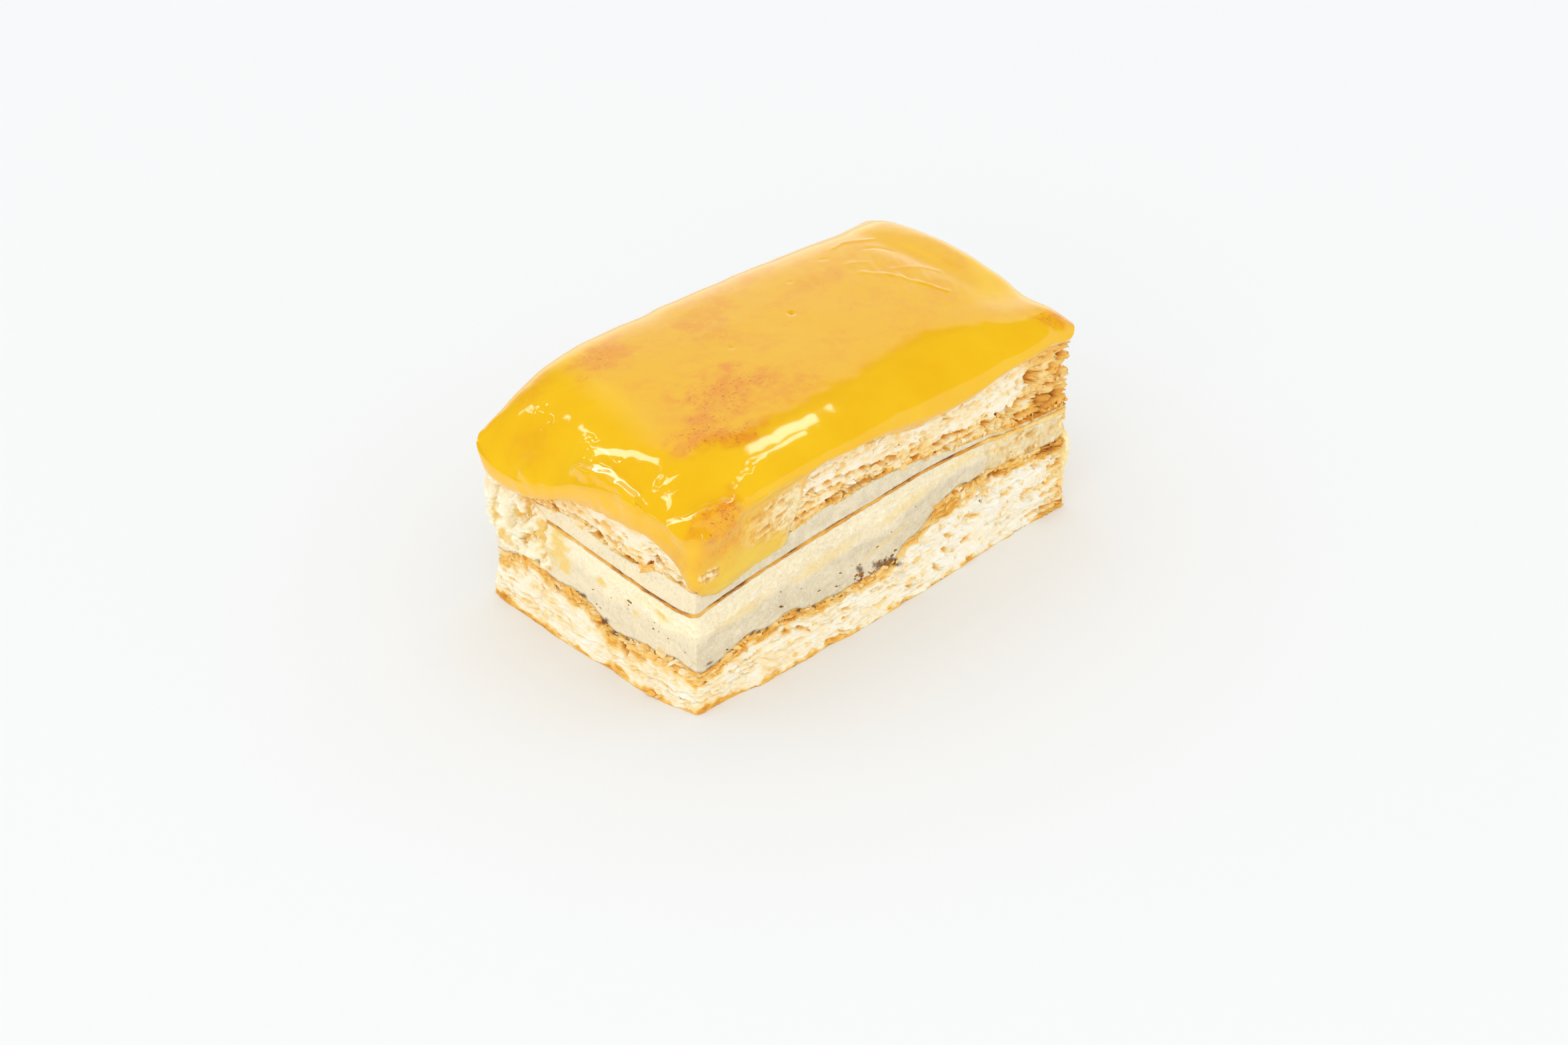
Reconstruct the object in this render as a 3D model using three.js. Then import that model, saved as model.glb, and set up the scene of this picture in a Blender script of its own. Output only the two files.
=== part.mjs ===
// A cut slice of mille feuille: puff pastry, custard, a thin pastry sheet, custard, puff
// pastry, and a thick egg-yolk icing that drapes over the top and runs down one corner.
// Millimetres, +X along the slice, +Y across it, +Z up, resting on z = 0.
// FRONT is the long cut face at -Y, LEFT the short one at -X.

import * as THREE from 'three';

// ---- Driving dimensions ------------------------------------------------------------

const LENGTH = 109;            // the cut slab, without what bulges or runs out of it
const WIDTH = 60.8;
const HEIGHT = 51.6;           // highest part of the icing
const CUT_CORNER = 1.2;        // radius of the knife-cut corners
const LAYER_GAP = 0.3;         // between neighbouring layers
const SHEET = 1.0;             // pitch of the thin middle pastry sheet
const THINNEST_CUSTARD = 0.9;  // pitch of the upper custard where it runs out
const INNER_RING = 6;          // how far in the hidden ring of each layer lies
const RIM = 0.2;               // how far in every layer's edge lies, so that they match

const ICING_CORNER = 4.5;      // radius of the icing's plan at its lip
const ICING_DEPTH = 4.2;       // icing thickness on the pastry
const FILM = 1.1;              // icing that has run down the front corner
const LIP_ROLL = 3.6;          // height over which the film swells into the lip

// How many facets run along a long side, a short side and a corner.
const LONG_STEPS = 34;
const SHORT_STEPS = 18;
const CORNER_STEPS = 3;

// Heights along the four sides, as [place along the side, height]. Front and back run
// along x, left and right along y.
const BOTTOM_PASTRY_TOP = {
  front: [[-54.5, 8.8], [-48, 9.9], [-40.5, 12.1], [-35.5, 10.9], [-30, 12.7], [-24, 10],
    [0, 9.8], [3, 12.8], [8, 14], [12, 17.6], [20, 19.8], [36, 18.6], [54.5, 17.2]],
  right: [[-30.4, 17.2], [-18, 16], [-6, 12.5], [8, 14.5], [20, 12.2], [30.4, 13.5]],
  back: [[-54.5, 10.2], [-40, 12.8], [-24, 10.6], [-8, 12.2], [12, 9.8], [32, 13], [54.5, 13.5]],
  left: [[-30.4, 8.8], [-26, 9.8], [-11, 8], [-6, 7.2], [0, 10.8], [3, 12], [12, 11.6],
    [18, 13.8], [25, 11.4], [30.4, 10.2]],
};
const LOWER_CUSTARD_TOP = {
  front: [[-54.5, 22], [-44, 23.7], [-24, 25.5], [-4, 26.6], [8, 27.4], [20, 27.2], [28, 26.6],
    [36, 24.9], [54.5, 23.6]],
  right: [[-30.4, 23.6], [-10, 24.4], [12, 26], [30.4, 25.4]],
  back: [[-54.5, 24.6], [-30, 25.6], [0, 26.8], [30, 25.8], [54.5, 25.4]],
  left: [[-30.4, 22], [-26, 20.7], [-20, 20.9], [0, 22.8], [15, 24.2], [30.4, 24.6]],
};
const UPPER_CUSTARD_TOP = {
  front: [[-54.5, 27.2], [-40, 29.2], [-27, 30.6], [-20, 32], [-16, 31.2], [-6, 31.9], [4, 31.4],
    [14, 30.2], [19, 28.6], [54.5, 25]],
  right: [[-30.4, 25], [-12, 28], [8, 30.6], [30.4, 30]],
  back: [[-54.5, 28], [-30, 30.8], [0, 31.8], [30, 30.6], [54.5, 30]],
  left: [[-30.4, 27.2], [-20.5, 28], [-12, 26.1], [-4, 26.8], [3, 28.5], [7, 29], [14, 27.4],
    [30.4, 28]],
};
const TOP_PASTRY_SHOULDER = {
  front: [[-54.5, 37], [-44, 39.4], [-30, 42.4], [-14, 43.4], [0, 43], [10, 41.6], [22, 41.5],
    [30, 42.8], [54.5, 43.8]],
  right: [[-30.4, 43.8], [0, 44.4], [30.4, 43.3]],
  back: [[-54.5, 35], [-45, 38.4], [-30, 42.4], [0, 43.5], [30, 43.5], [54.5, 43.3]],
  left: [[-30.4, 37], [-22, 39], [-10, 40], [0, 39.5], [8, 38], [16, 36], [30.4, 35]],
};
const ICING_HEM = {
  front: [[-54.5, 27.6], [-51, 25.9], [-46, 25.5], [-42, 27.1], [-30, 28.3], [-26.5, 41.4],
    [-14, 42.3], [-5, 41.4], [3, 39.8], [10, 39.3], [20, 39.3], [28, 41], [54.5, 42.2]],
  right: [[-30.4, 42.2], [-15, 41.3], [0, 42], [15, 40.8], [30.4, 41.4]],
  back: [[-54.5, 31.3], [-46, 34.6], [-34, 39], [-20, 41.2], [0, 40], [20, 41.5], [54.5, 41.4]],
  left: [[-30.4, 27.6], [-26, 32.4], [-21, 34.7], [-16, 36], [-6, 36.4], [-1, 35.2], [4, 33.8],
    [9, 31.9], [14, 30], [20, 28.8], [30.4, 30.2]],
};
const ICING_BULGE = {
  front: [[-54.5, 40], [-44, 43.2], [-30, 44.3], [-14, 44.2], [0, 43.4], [10, 42.2], [22, 42.2],
    [30, 43.4], [54.5, 44.2]],
  right: [[-30.4, 44.2], [0, 44.8], [30.4, 43.8]],
  back: [[-54.5, 36.6], [-46, 40.2], [-30, 43.8], [0, 44], [30, 44], [54.5, 43.8]],
  left: [[-30.4, 40], [-22, 40.6], [-10, 40.4], [0, 39.8], [8, 37.5], [16, 35.6], [30.4, 36.6]],
};
// How far the icing's lip and the trodden-out foot of the bottom pastry stand proud.
const ICING_PROUD = {
  front: [[-54.5, 2.4], [0, 2.3], [40, 2], [54.5, 1.2]],
  right: [[-30.4, 0.4], [-18, 1.2], [0, 2.2], [16, 2.5], [30.4, 2.2]],
  back: [[-54.5, 2.6], [-40, 2.3], [54.5, 2]],
  left: [[-30.4, 2.4], [-10, 2.8], [5, 3.3], [16, 4.2], [30.4, 3.9]],
};
const FOOT_PROUD = {
  front: [[-54.5, 0.1], [-35, 1.8], [-20, 2.2], [-5, 2.2], [11, 1.6], [26, 0.6], [54.5, 0.3]],
  right: [[-30.4, 0.3], [0, 0.8], [30.4, 0.3]],
  back: [[-54.5, 0.2], [-20, 1.2], [20, 1], [54.5, 0.3]],
  left: [[-30.4, 0.1], [-22, 2.4], [-12, 3.2], [2, 3], [16, 2.6], [26, 1.6], [30.4, 0.8]],
};

// How quickly the icing climbs from its lip to the flat top: reach in mm and sharpness.
const CLIMB = {
  front: { reach: 6.8, power: 0.8 },
  right: { reach: 1.1, power: 0.8 },
  back: { reach: 2.6, power: 0.8 },
  left: { reach: 8, power: 0.9 },
};
// Places where the icing's top has sunk, or with a depth below nothing has swollen.
const SINKS = [
  { x: 57, y: -18, rx: 16, ry: 13, depth: 3.2 },
  { x: 46, y: 33, rx: 18, ry: 8, depth: 1.9 },
  { x: -34, y: -6, rx: 14, ry: 12, depth: 0.5 },
  { x: 44, y: 6, rx: 3, ry: 13, depth: 0.6 },
  { x: 53, y: 8, rx: 7, ry: 13, depth: -0.5 },
  { x: -51, y: 29, rx: 12, ry: 10, depth: 3 },
];

// Hollows in the flaky sides: side, place along it, height, half width, half height, depth.
const HOLLOWS = [
  ['front', -9.5, 32.4, 4.4, 1.6, 2.8], ['front', 38.5, 32.6, 4.2, 1.4, 2.6],
  ['front', 42, 36.8, 3.6, 2.4, 3.2], ['front', 46, 31, 2.4, 1.6, 2.2],
  ['front', 50.5, 29.8, 2.4, 1.6, 2.4], ['front', -13, 36.4, 4, 1, 1.4],
  ['front', 0, 34.9, 4.6, 1, 1.5], ['front', 15.5, 33, 3, 1, 1.6],
  ['front', 23, 30.8, 2.6, 1, 1.5], ['front', 32, 17.6, 4, 1.5, 2.2],
  ['front', 25, 19.2, 4, 1.1, 1.8], ['front', 28, 14.6, 2.2, 1.4, 1.3],
  ['front', 22, 5.6, 2.4, 1.1, 1.4], ['front', 51, 4, 3.4, 2, 1.6],
  ['left', -20.5, 30, 2.4, 1.4, 2], ['left', -11, 26.9, 4.2, 1.1, 1.8],
  ['left', -2, 28.2, 2.6, 1.2, 1.5], ['left', 12, 24, 3, 1.6, 1.2],
  ['left', -7, 2.6, 1.6, 2.8, 2.2], ['right', -12, 33, 6, 2.2, 2.6],
  ['right', 9, 36, 7, 1.8, 2.4], ['right', 2, 29, 5, 1.6, 2], ['right', 18, 7, 5, 2, 1.8],
  ['back', -30, 35, 6, 1.6, 2.4], ['back', 6, 37, 7, 1.6, 2.4], ['back', 30, 34, 5, 2, 2.4],
  ['back', -10, 5, 4, 1.6, 1.6], ['back', 38, 8, 5, 1.8, 1.8],
];

// Custard pressed out over the cut faces: middle, half sizes, how lumpy it is, and how far
// its thickest part has slid down.
const CORNER_SMEAR = { x: -54.8, y: 22.8, z: 20.8, rx: 2.6, ry: 9, rz: 7.5, lumps: 0.3, slid: 0, seed: 5 };
const END_SMEAR = { x: 54.8, y: -24.6, z: 13, rx: 2.6, ry: 6, rz: 9.2, lumps: 0.15, slid: 0.75, seed: 9 };
const SMEAR_SEGMENTS = 20;
const SMEAR_RINGS = 10;

const COLOURS = {
  pastry: 0xf0dcb0,
  sheet: 0xb4702c,
  custard: 0xe9dfbe,
  icing: 0xf4b62c,
};

// ---- Curves and noise ---------------------------------------------------------------

// A smooth curve through the knots that never overshoots between two of them.
function curveThrough(knots) {
  const rise = knots.slice(1).map(([t, h], k) => (h - knots[k][1]) / (t - knots[k][0]));
  const slope = knots.map((_, k) => {
    const before = rise[Math.max(k - 1, 0)];
    const after = rise[Math.min(k, rise.length - 1)];
    return before * after > 0 ? (2 * before * after) / (before + after) : 0;
  });
  return (place) => {
    const t = THREE.MathUtils.clamp(place, knots[0][0], knots.at(-1)[0]);
    const k = Math.min(knots.findLastIndex(([start]) => start <= t), rise.length - 1);
    const span = knots[k + 1][0] - knots[k][0];
    const u = (t - knots[k][0]) / span;
    const a = (1 + 2 * u) * (1 - u) ** 2 * knots[k][1] + u * (1 - u) ** 2 * span * slope[k];
    const b = u * u * (3 - 2 * u) * knots[k + 1][1] - u * u * (1 - u) * span * slope[k + 1];
    return a + b;
  };
}

const sides = (knots) => Object.fromEntries(
  Object.entries(knots).map(([side, list]) => [side, curveThrough(list)]));

// A repeatable random number from 0 to 1 for each pair of whole numbers.
function chance(a, b, seed) {
  let h = Math.imul(a + 374761, 668265263) ^ Math.imul(b + 97, 374761393) ^ Math.imul(seed, 69069);
  h = Math.imul(h ^ (h >>> 13), 1274126177);
  return ((h ^ (h >>> 16)) >>> 0) / 4294967296;
}

// ---- The stations round the slice ----------------------------------------------------

// Every layer has the same stations, counter-clockwise from the front left corner, so
// that neighbouring layers meet facet to facet.
function makeStations() {
  const list = [];
  const round = [['front', LONG_STEPS], ['right', SHORT_STEPS], ['back', LONG_STEPS], ['left', SHORT_STEPS]];
  round.forEach(([side, steps], turn) => {
    for (let k = 0; k <= steps; k += 1) list.push({ side, turn, along: k / steps, bend: 0 });
    for (let k = 1; k < CORNER_STEPS; k += 1) {
      list.push({ side, turn, along: 1, bend: k / CORNER_STEPS });
    }
  });
  return list;
}
const STATIONS = makeStations();

// The point of a station on a rounded rectangle that stands `out` proud of the cut slab.
function plan(station, out, radius) {
  const halfX = LENGTH / 2 + out - radius;
  const halfY = WIDTH / 2 + out - radius;
  const onLong = station.turn % 2 === 0;
  const run = (onLong ? halfX : halfY) * (2 * station.along - 1);
  const start = new THREE.Vector2(run, onLong ? -halfY : -halfX);
  const swing = (station.bend * Math.PI) / 2;
  start.x += Math.sin(swing) * radius;
  start.y -= Math.cos(swing) * radius;
  return start.rotateAround(new THREE.Vector2(), (station.turn * Math.PI) / 2);
}

// Where a plan point lies along its side, to read the side's curves.
function sidePlace(station, point) {
  return station.turn % 2 === 0 ? point.x : point.y;
}

// The station's own value of a set of side curves.
function readSide(curves, station) {
  return curves[station.side](sidePlace(station, plan(station, 0, CUT_CORNER)));
}

// ---- Faces between the layers ---------------------------------------------------------

// A face is given by its height at the cut edge, at the inner ring and at the middle.
function makeFace(knots) {
  const curves = sides(knots);
  return faceFrom(STATIONS.map((station) => readSide(curves, station)));
}

function faceFrom(edge) {
  const count = edge.length;
  const spread = 5;
  const inner = edge.map((_, i) => {
    let sum = 0;
    for (let k = -spread; k <= spread; k += 1) sum += edge[(i + k + count) % count];
    return sum / (2 * spread + 1);
  });
  const middle = edge.reduce((sum, height) => sum + height, 0) / count;
  return { edge, inner, middle };
}

const faceAbove = (face, pitch) => faceFrom(face.edge.map((height) => height + pitch));

// The higher of two faces, station by station, for a layer that runs out to a skin.
const higherFace = (one, other) => faceFrom(
  one.edge.map((height, i) => Math.max(height, other.edge[i])));

// A ring on a face, `inset` in from the cut edge and `lift` above the face.
function faceRing(face, insets, lift) {
  return STATIONS.map((station, i) => {
    const share = insets[i] / INNER_RING;
    const outer = plan(station, 0, CUT_CORNER);
    const point = outer.lerp(plan(station, -INNER_RING, CUT_CORNER), share);
    const height = THREE.MathUtils.lerp(face.edge[i], face.inner[i], Math.max(share, 0));
    return new THREE.Vector3(point.x, point.y, height + lift);
  });
}

const evenInsets = (inset) => STATIONS.map(() => inset);
const middlePoint = (face, lift) => new THREE.Vector3(0, 0, face.middle + lift);

// ---- Lofted solids --------------------------------------------------------------------

// Joins rings of equal count into one closed solid between a first and a last point. The
// first bands are its underside, split along the diagonal that the face below them has.
function loft(first, rings, last, undersideBands) {
  const count = rings[0].length;
  const points = [first, ...rings.flat(), last];
  const index = [];
  const at = (ring, i) => 1 + ring * count + ((i + count) % count);
  for (let i = 0; i < count; i += 1) {
    index.push(0, at(0, i + 1), at(0, i));
    for (let ring = 0; ring + 1 < rings.length; ring += 1) {
      const [a, b] = [at(ring, i), at(ring, i + 1)];
      const [c, d] = [at(ring + 1, i + 1), at(ring + 1, i)];
      index.push(...(ring < undersideBands ? [a, b, d, b, c, d] : [a, b, c, a, c, d]));
    }
    index.push(at(rings.length - 1, i), at(rings.length - 1, i + 1), points.length - 1);
  }
  const geometry = new THREE.BufferGeometry().setFromPoints(points);
  geometry.setIndex(index);
  geometry.computeVertexNormals();
  return geometry;
}

// How deep the named hollows are at a place on a side.
function hollowDepth(side, along, height) {
  let depth = 0;
  for (const [where, t, z, halfWidth, halfHeight, deep] of HOLLOWS) {
    if (where !== side) continue;
    const off = ((along - t) / halfWidth) ** 2 + ((height - z) / halfHeight) ** 2;
    depth = Math.max(depth, deep * Math.max(0, 1 - off) ** 0.5);
  }
  return depth;
}

// How deep a broken flaky wall lies in from the knife's cut: long thin flakes, with one
// row of them standing back from the next, and the named hollows.
function flakyInset(station, along, height, i, row, seed, roughness) {
  const flake = chance(Math.floor((i + row) / 2), row, seed) ** 2;
  const crumb = chance(i, row, seed + 1);
  const edge = station.bend > 0 || station.along === 0 || station.along === 1 ? 0.35 : 1;
  return edge * roughness * (1.1 * flake + 0.3 * crumb) + hollowDepth(station.side, along, height);
}

// The rows of a cut wall from the face `low` to the face `high`. inset(i, row, height)
// says how far in each point lies.
function wallRows(low, high, rows, inset) {
  const rings = [];
  for (let row = 0; row <= rows; row += 1) {
    const share = row / rows;
    const floor = low.edge.map((height) => height + LAYER_GAP / 2);
    const roof = high.edge.map((height) => height - LAYER_GAP / 2);
    const depth = STATIONS.map((_, i) => {
      return inset(i, row, THREE.MathUtils.lerp(floor[i], roof[i], share));
    });
    if (row === 0) rings.push(faceRing(low, depth, LAYER_GAP / 2));
    else if (row === rows) rings.push(faceRing(high, depth, -LAYER_GAP / 2));
    else {
      rings.push(STATIONS.map((station, i) => {
        const outer = plan(station, 0, CUT_CORNER);
        const point = outer.lerp(plan(station, -INNER_RING, CUT_CORNER), depth[i] / INNER_RING);
        return new THREE.Vector3(point.x, point.y, THREE.MathUtils.lerp(floor[i], roof[i], share));
      }));
    }
  }
  return rings;
}

// ---- The layers -------------------------------------------------------------------------

const table = faceFrom(STATIONS.map(() => -LAYER_GAP / 2));
const pastryTop = makeFace(BOTTOM_PASTRY_TOP);
const custardTop = makeFace(LOWER_CUSTARD_TOP);
const sheetTop = faceAbove(custardTop, SHEET);
const upperTop = higherFace(makeFace(UPPER_CUSTARD_TOP), faceAbove(sheetTop, THINNEST_CUSTARD));

function bottomPastry() {
  const rows = 7;
  const foot = sides(FOOT_PROUD);
  const walls = wallRows(table, pastryTop, rows, (i, row, height) => {
    const station = STATIONS[i];
    const along = sidePlace(station, plan(station, 0, CUT_CORNER));
    const spread = readSide(foot, station) * Math.max(0, 1 - height / 9) ** 1.3;
    return row === rows ? RIM : flakyInset(station, along, height, i, row, 11, 0.9) - spread;
  });
  const inside = evenInsets(INNER_RING);
  return loft(
    middlePoint(table, LAYER_GAP / 2),
    [faceRing(table, inside, LAYER_GAP / 2), ...walls, faceRing(pastryTop, inside, -LAYER_GAP / 2)],
    middlePoint(pastryTop, -LAYER_GAP / 2),
    1);
}

// A custard or sheet: a smooth cut with slight waves in it.
function smoothLayer(low, high, rows, waviness, seed) {
  const walls = wallRows(low, high, rows, (i, row) => {
    const rim = row === 0 || row === rows;
    return rim ? RIM : waviness * chance(Math.floor(i / 2), row, seed);
  });
  const inside = evenInsets(INNER_RING);
  return loft(
    middlePoint(low, LAYER_GAP / 2),
    [faceRing(low, inside, LAYER_GAP / 2), ...walls, faceRing(high, inside, -LAYER_GAP / 2)],
    middlePoint(high, -LAYER_GAP / 2),
    1);
}

// ---- The icing --------------------------------------------------------------------------

const icingHem = sides(ICING_HEM);
const icingBulge = sides(ICING_BULGE);
const icingProud = sides(ICING_PROUD);
const shoulder = sides(TOP_PASTRY_SHOULDER);

// How far in from the icing's lip a point lies, on each side, never less than nothing.
function lipDistances(point) {
  const away = {
    front: point.y + WIDTH / 2 + icingProud.front(point.x),
    right: LENGTH / 2 + icingProud.right(point.y) - point.x,
    back: WIDTH / 2 + icingProud.back(point.x) - point.y,
    left: point.x + LENGTH / 2 + icingProud.left(point.y),
  };
  return Object.entries(away).map(([side, distance]) => [side, Math.max(distance, 0)]);
}

// The icing's top climbs from the height of its lip, the nearest side's counting most, to
// its full height less the sunken places.
function icingHeight(point) {
  let full = HEIGHT;
  for (const { x, y, rx, ry, depth } of SINKS) {
    full -= depth * Math.exp(-(((point.x - x) / rx) ** 2) - ((point.y - y) / ry) ** 2);
  }
  let rise = 1;
  let lip = 0;
  let total = 0;
  for (const [side, distance] of lipDistances(point)) {
    const { reach, power } = CLIMB[side];
    rise *= 1 - Math.exp(-((distance / reach) ** power));
    const weight = (distance + 0.05) ** -2;
    lip += weight * icingBulge[side](side === 'front' || side === 'back' ? point.x : point.y);
    total += weight;
  }
  return THREE.MathUtils.lerp(lip / total, full, rise);
}

const lipProud = (station) => readSide(icingProud, station);

// A ring on the icing's top, `inset` in from its lip.
function icingTopRing(inset) {
  return STATIONS.map((station) => {
    const point = plan(station, lipProud(station) - inset, ICING_CORNER + 0.3 * inset);
    return new THREE.Vector3(point.x, point.y, icingHeight(point));
  });
}

// The pastry's domed cap under the icing. Its rim is the pastry's shoulder.
const CAP_INSETS = [1.5, 5, 12, 22];
function capRing(inset, lift) {
  return STATIONS.map((station) => {
    const point = plan(station, -inset, CUT_CORNER + 0.3 * inset);
    const depth = ICING_DEPTH * (0.75 + 0.25 * Math.min(inset / 5, 1));
    return new THREE.Vector3(point.x, point.y, icingHeight(point) - depth + lift);
  });
}

function topPastry() {
  const rows = 8;
  const cap = faceFrom(STATIONS.map((station) => readSide(shoulder, station)));
  const walls = wallRows(upperTop, cap, rows, (i, row, height) => {
    const station = STATIONS[i];
    const along = sidePlace(station, plan(station, 0, CUT_CORNER));
    const torn = station.side === 'right' ? 1.5 : 1;
    const rim = row === 0 || row === rows;
    return rim ? RIM : flakyInset(station, along, height, i, row, 23, torn);
  });
  return loft(
    middlePoint(upperTop, LAYER_GAP / 2),
    [faceRing(upperTop, evenInsets(INNER_RING), LAYER_GAP / 2), ...walls,
      ...CAP_INSETS.map((inset) => capRing(inset, -LAYER_GAP))],
    new THREE.Vector3(0, 0, HEIGHT - ICING_DEPTH - LAYER_GAP),
    1);
}

// The icing's outer side, from its hem up to the bulge of its lip.
function icingSideRing(share) {
  return STATIONS.map((station) => {
    const hem = readSide(icingHem, station);
    const bulge = readSide(icingBulge, station);
    const height = THREE.MathUtils.lerp(hem, bulge, share);
    const swell = THREE.MathUtils.smoothstep(height, bulge - LIP_ROLL, bulge);
    const thin = share === 0 ? 0.7 : 1;
    const out = LAYER_GAP + THREE.MathUtils.lerp(FILM, lipProud(station) - LAYER_GAP, swell) * thin;
    const corner = THREE.MathUtils.lerp(CUT_CORNER + 1, ICING_CORNER, swell);
    const point = plan(station, out, corner);
    return new THREE.Vector3(point.x, point.y, height);
  });
}

function icing() {
  const inner = (read, lift) => STATIONS.map((station) => {
    const point = plan(station, LAYER_GAP, CUT_CORNER + LAYER_GAP);
    return new THREE.Vector3(point.x, point.y, readSide(read, station) + lift);
  });
  return loft(
    new THREE.Vector3(0, 0, HEIGHT - ICING_DEPTH),
    [...CAP_INSETS.toReversed().map((inset) => capRing(inset, 0)), inner(shoulder, LAYER_GAP / 2),
      inner(icingHem, 0),
      ...[0, 0.25, 0.5, 0.75, 0.92].map(icingSideRing),
      ...[0, 0.5, 1.4, 2.8, 4.8, 7.6, 11.4, 17, 24].map(icingTopRing)],
    new THREE.Vector3(0, 0, HEIGHT),
    CAP_INSETS.length);
}

// ---- Smears of custard --------------------------------------------------------------------

// A low lump of custard that lies against a cut face at x, with a flat back and a ragged
// outline.
function smear({ x, y, z, rx, ry, rz, lumps, slid, seed }) {
  const outward = Math.sign(x);
  const geometry = new THREE.SphereGeometry(1, SMEAR_SEGMENTS, SMEAR_RINGS);
  const position = geometry.getAttribute('position');
  const point = new THREE.Vector3();
  for (let i = 0; i < position.count; i += 1) {
    point.fromBufferAttribute(position, i);
    const angle = Math.atan2(point.z, point.y);
    const ragged = 1 + 0.09 * Math.sin(3 * angle + seed) + 0.06 * Math.sin(5 * angle - seed);
    const lump = 1 + lumps * Math.sin(6 * point.y + seed) * Math.cos(5 * point.z - seed) - slid * point.z;
    const reach = Math.max(outward * point.x, 0) * rx * lump;
    position.setXYZ(i, x + outward * reach, y + point.y * ry * ragged, z + point.z * rz * ragged);
  }
  return geometry;
}

// ---- The slice --------------------------------------------------------------------------

function addLayer(group, name, geometry, colour, roughness) {
  const material = new THREE.MeshStandardMaterial({ color: colour, roughness, metalness: 0 });
  const mesh = new THREE.Mesh(geometry, material);
  mesh.name = name;
  group.add(mesh);
}

const slice = new THREE.Group();
addLayer(slice, 'bottom_pastry', bottomPastry(), COLOURS.pastry, 0.85);
addLayer(slice, 'lower_custard', smoothLayer(pastryTop, custardTop, 2, 0.25, 31), COLOURS.custard, 0.5);
addLayer(slice, 'middle_pastry', smoothLayer(custardTop, sheetTop, 1, 0.3, 41), COLOURS.sheet, 0.8);
addLayer(slice, 'upper_custard', smoothLayer(sheetTop, upperTop, 1, 0.25, 51), COLOURS.custard, 0.5);
addLayer(slice, 'top_pastry', topPastry(), COLOURS.pastry, 0.85);
addLayer(slice, 'icing', icing(), COLOURS.icing, 0.15);
addLayer(slice, 'corner_smear', smear(CORNER_SMEAR), COLOURS.custard, 0.5);
addLayer(slice, 'end_smear', smear(END_SMEAR), COLOURS.custard, 0.5);

// The slice stands with the middle of its box's underside at the origin.
const part = new THREE.Group();
const middle = new THREE.Box3().setFromObject(slice).getCenter(new THREE.Vector3());
slice.position.set(-middle.x, -middle.y, 0);
part.add(slice);

export default part;
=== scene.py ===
import itertools

import bmesh
import bpy
import numpy as np
from mathutils import Matrix, Vector
from mathutils.bvhtree import BVHTree

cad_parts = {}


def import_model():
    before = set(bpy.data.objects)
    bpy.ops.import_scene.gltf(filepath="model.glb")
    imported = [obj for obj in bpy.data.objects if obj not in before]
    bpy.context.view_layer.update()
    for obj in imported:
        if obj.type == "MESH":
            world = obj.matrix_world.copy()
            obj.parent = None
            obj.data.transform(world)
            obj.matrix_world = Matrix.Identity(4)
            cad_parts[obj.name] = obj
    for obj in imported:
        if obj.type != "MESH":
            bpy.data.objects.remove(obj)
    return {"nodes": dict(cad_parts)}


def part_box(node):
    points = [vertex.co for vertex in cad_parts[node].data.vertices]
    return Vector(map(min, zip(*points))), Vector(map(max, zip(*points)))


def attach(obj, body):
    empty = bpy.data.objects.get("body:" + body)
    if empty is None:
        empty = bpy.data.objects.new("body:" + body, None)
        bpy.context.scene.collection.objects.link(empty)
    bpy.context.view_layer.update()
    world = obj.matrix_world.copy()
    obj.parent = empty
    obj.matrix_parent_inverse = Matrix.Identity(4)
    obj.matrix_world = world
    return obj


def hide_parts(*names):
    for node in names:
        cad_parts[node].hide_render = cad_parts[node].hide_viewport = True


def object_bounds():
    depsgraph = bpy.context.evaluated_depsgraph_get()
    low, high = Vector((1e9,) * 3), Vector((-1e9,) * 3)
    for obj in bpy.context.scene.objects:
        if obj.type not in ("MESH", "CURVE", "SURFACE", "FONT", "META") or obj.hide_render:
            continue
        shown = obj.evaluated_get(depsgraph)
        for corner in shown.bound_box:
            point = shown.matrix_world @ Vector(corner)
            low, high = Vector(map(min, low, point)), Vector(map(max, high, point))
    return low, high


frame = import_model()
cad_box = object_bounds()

# A cut slice of mille feuille. Sizes and places here are millimetres from the middle of
# the cut slab, with z up from the table. The long cut face looks to -Y, the short one to -X.

MM = 0.001
CUT_CORNER = 1.2        # radius of the knife-cut corners
LIP_CORNER = 4.5        # radius of the icing's plan at its lip
INNER_RING = 6.0        # how far in the hidden ring of each layer lies
HALF_GAP = 0.15         # half the gap that the solids keep between the layers
LONG_COLUMNS = 320      # columns of faces along a long side of the slab
SHORT_COLUMNS = 176     # and along a short side
OVERHEAD = 60           # height that rays look down from
PROBE_OUT = 8           # how far outside the slab a level ray starts that measures a solid
PROBE_IN = 4            # and how far inside it the ray ends

FRONT, RIGHT, BACK, LEFT = range(4)


# ---- Noise ----------------------------------------------------------------------------

GRADIENTS = np.random.default_rng(4).normal(size=(1024, 3))
GRADIENTS /= np.linalg.norm(GRADIENTS, axis=1, keepdims=True)


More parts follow.
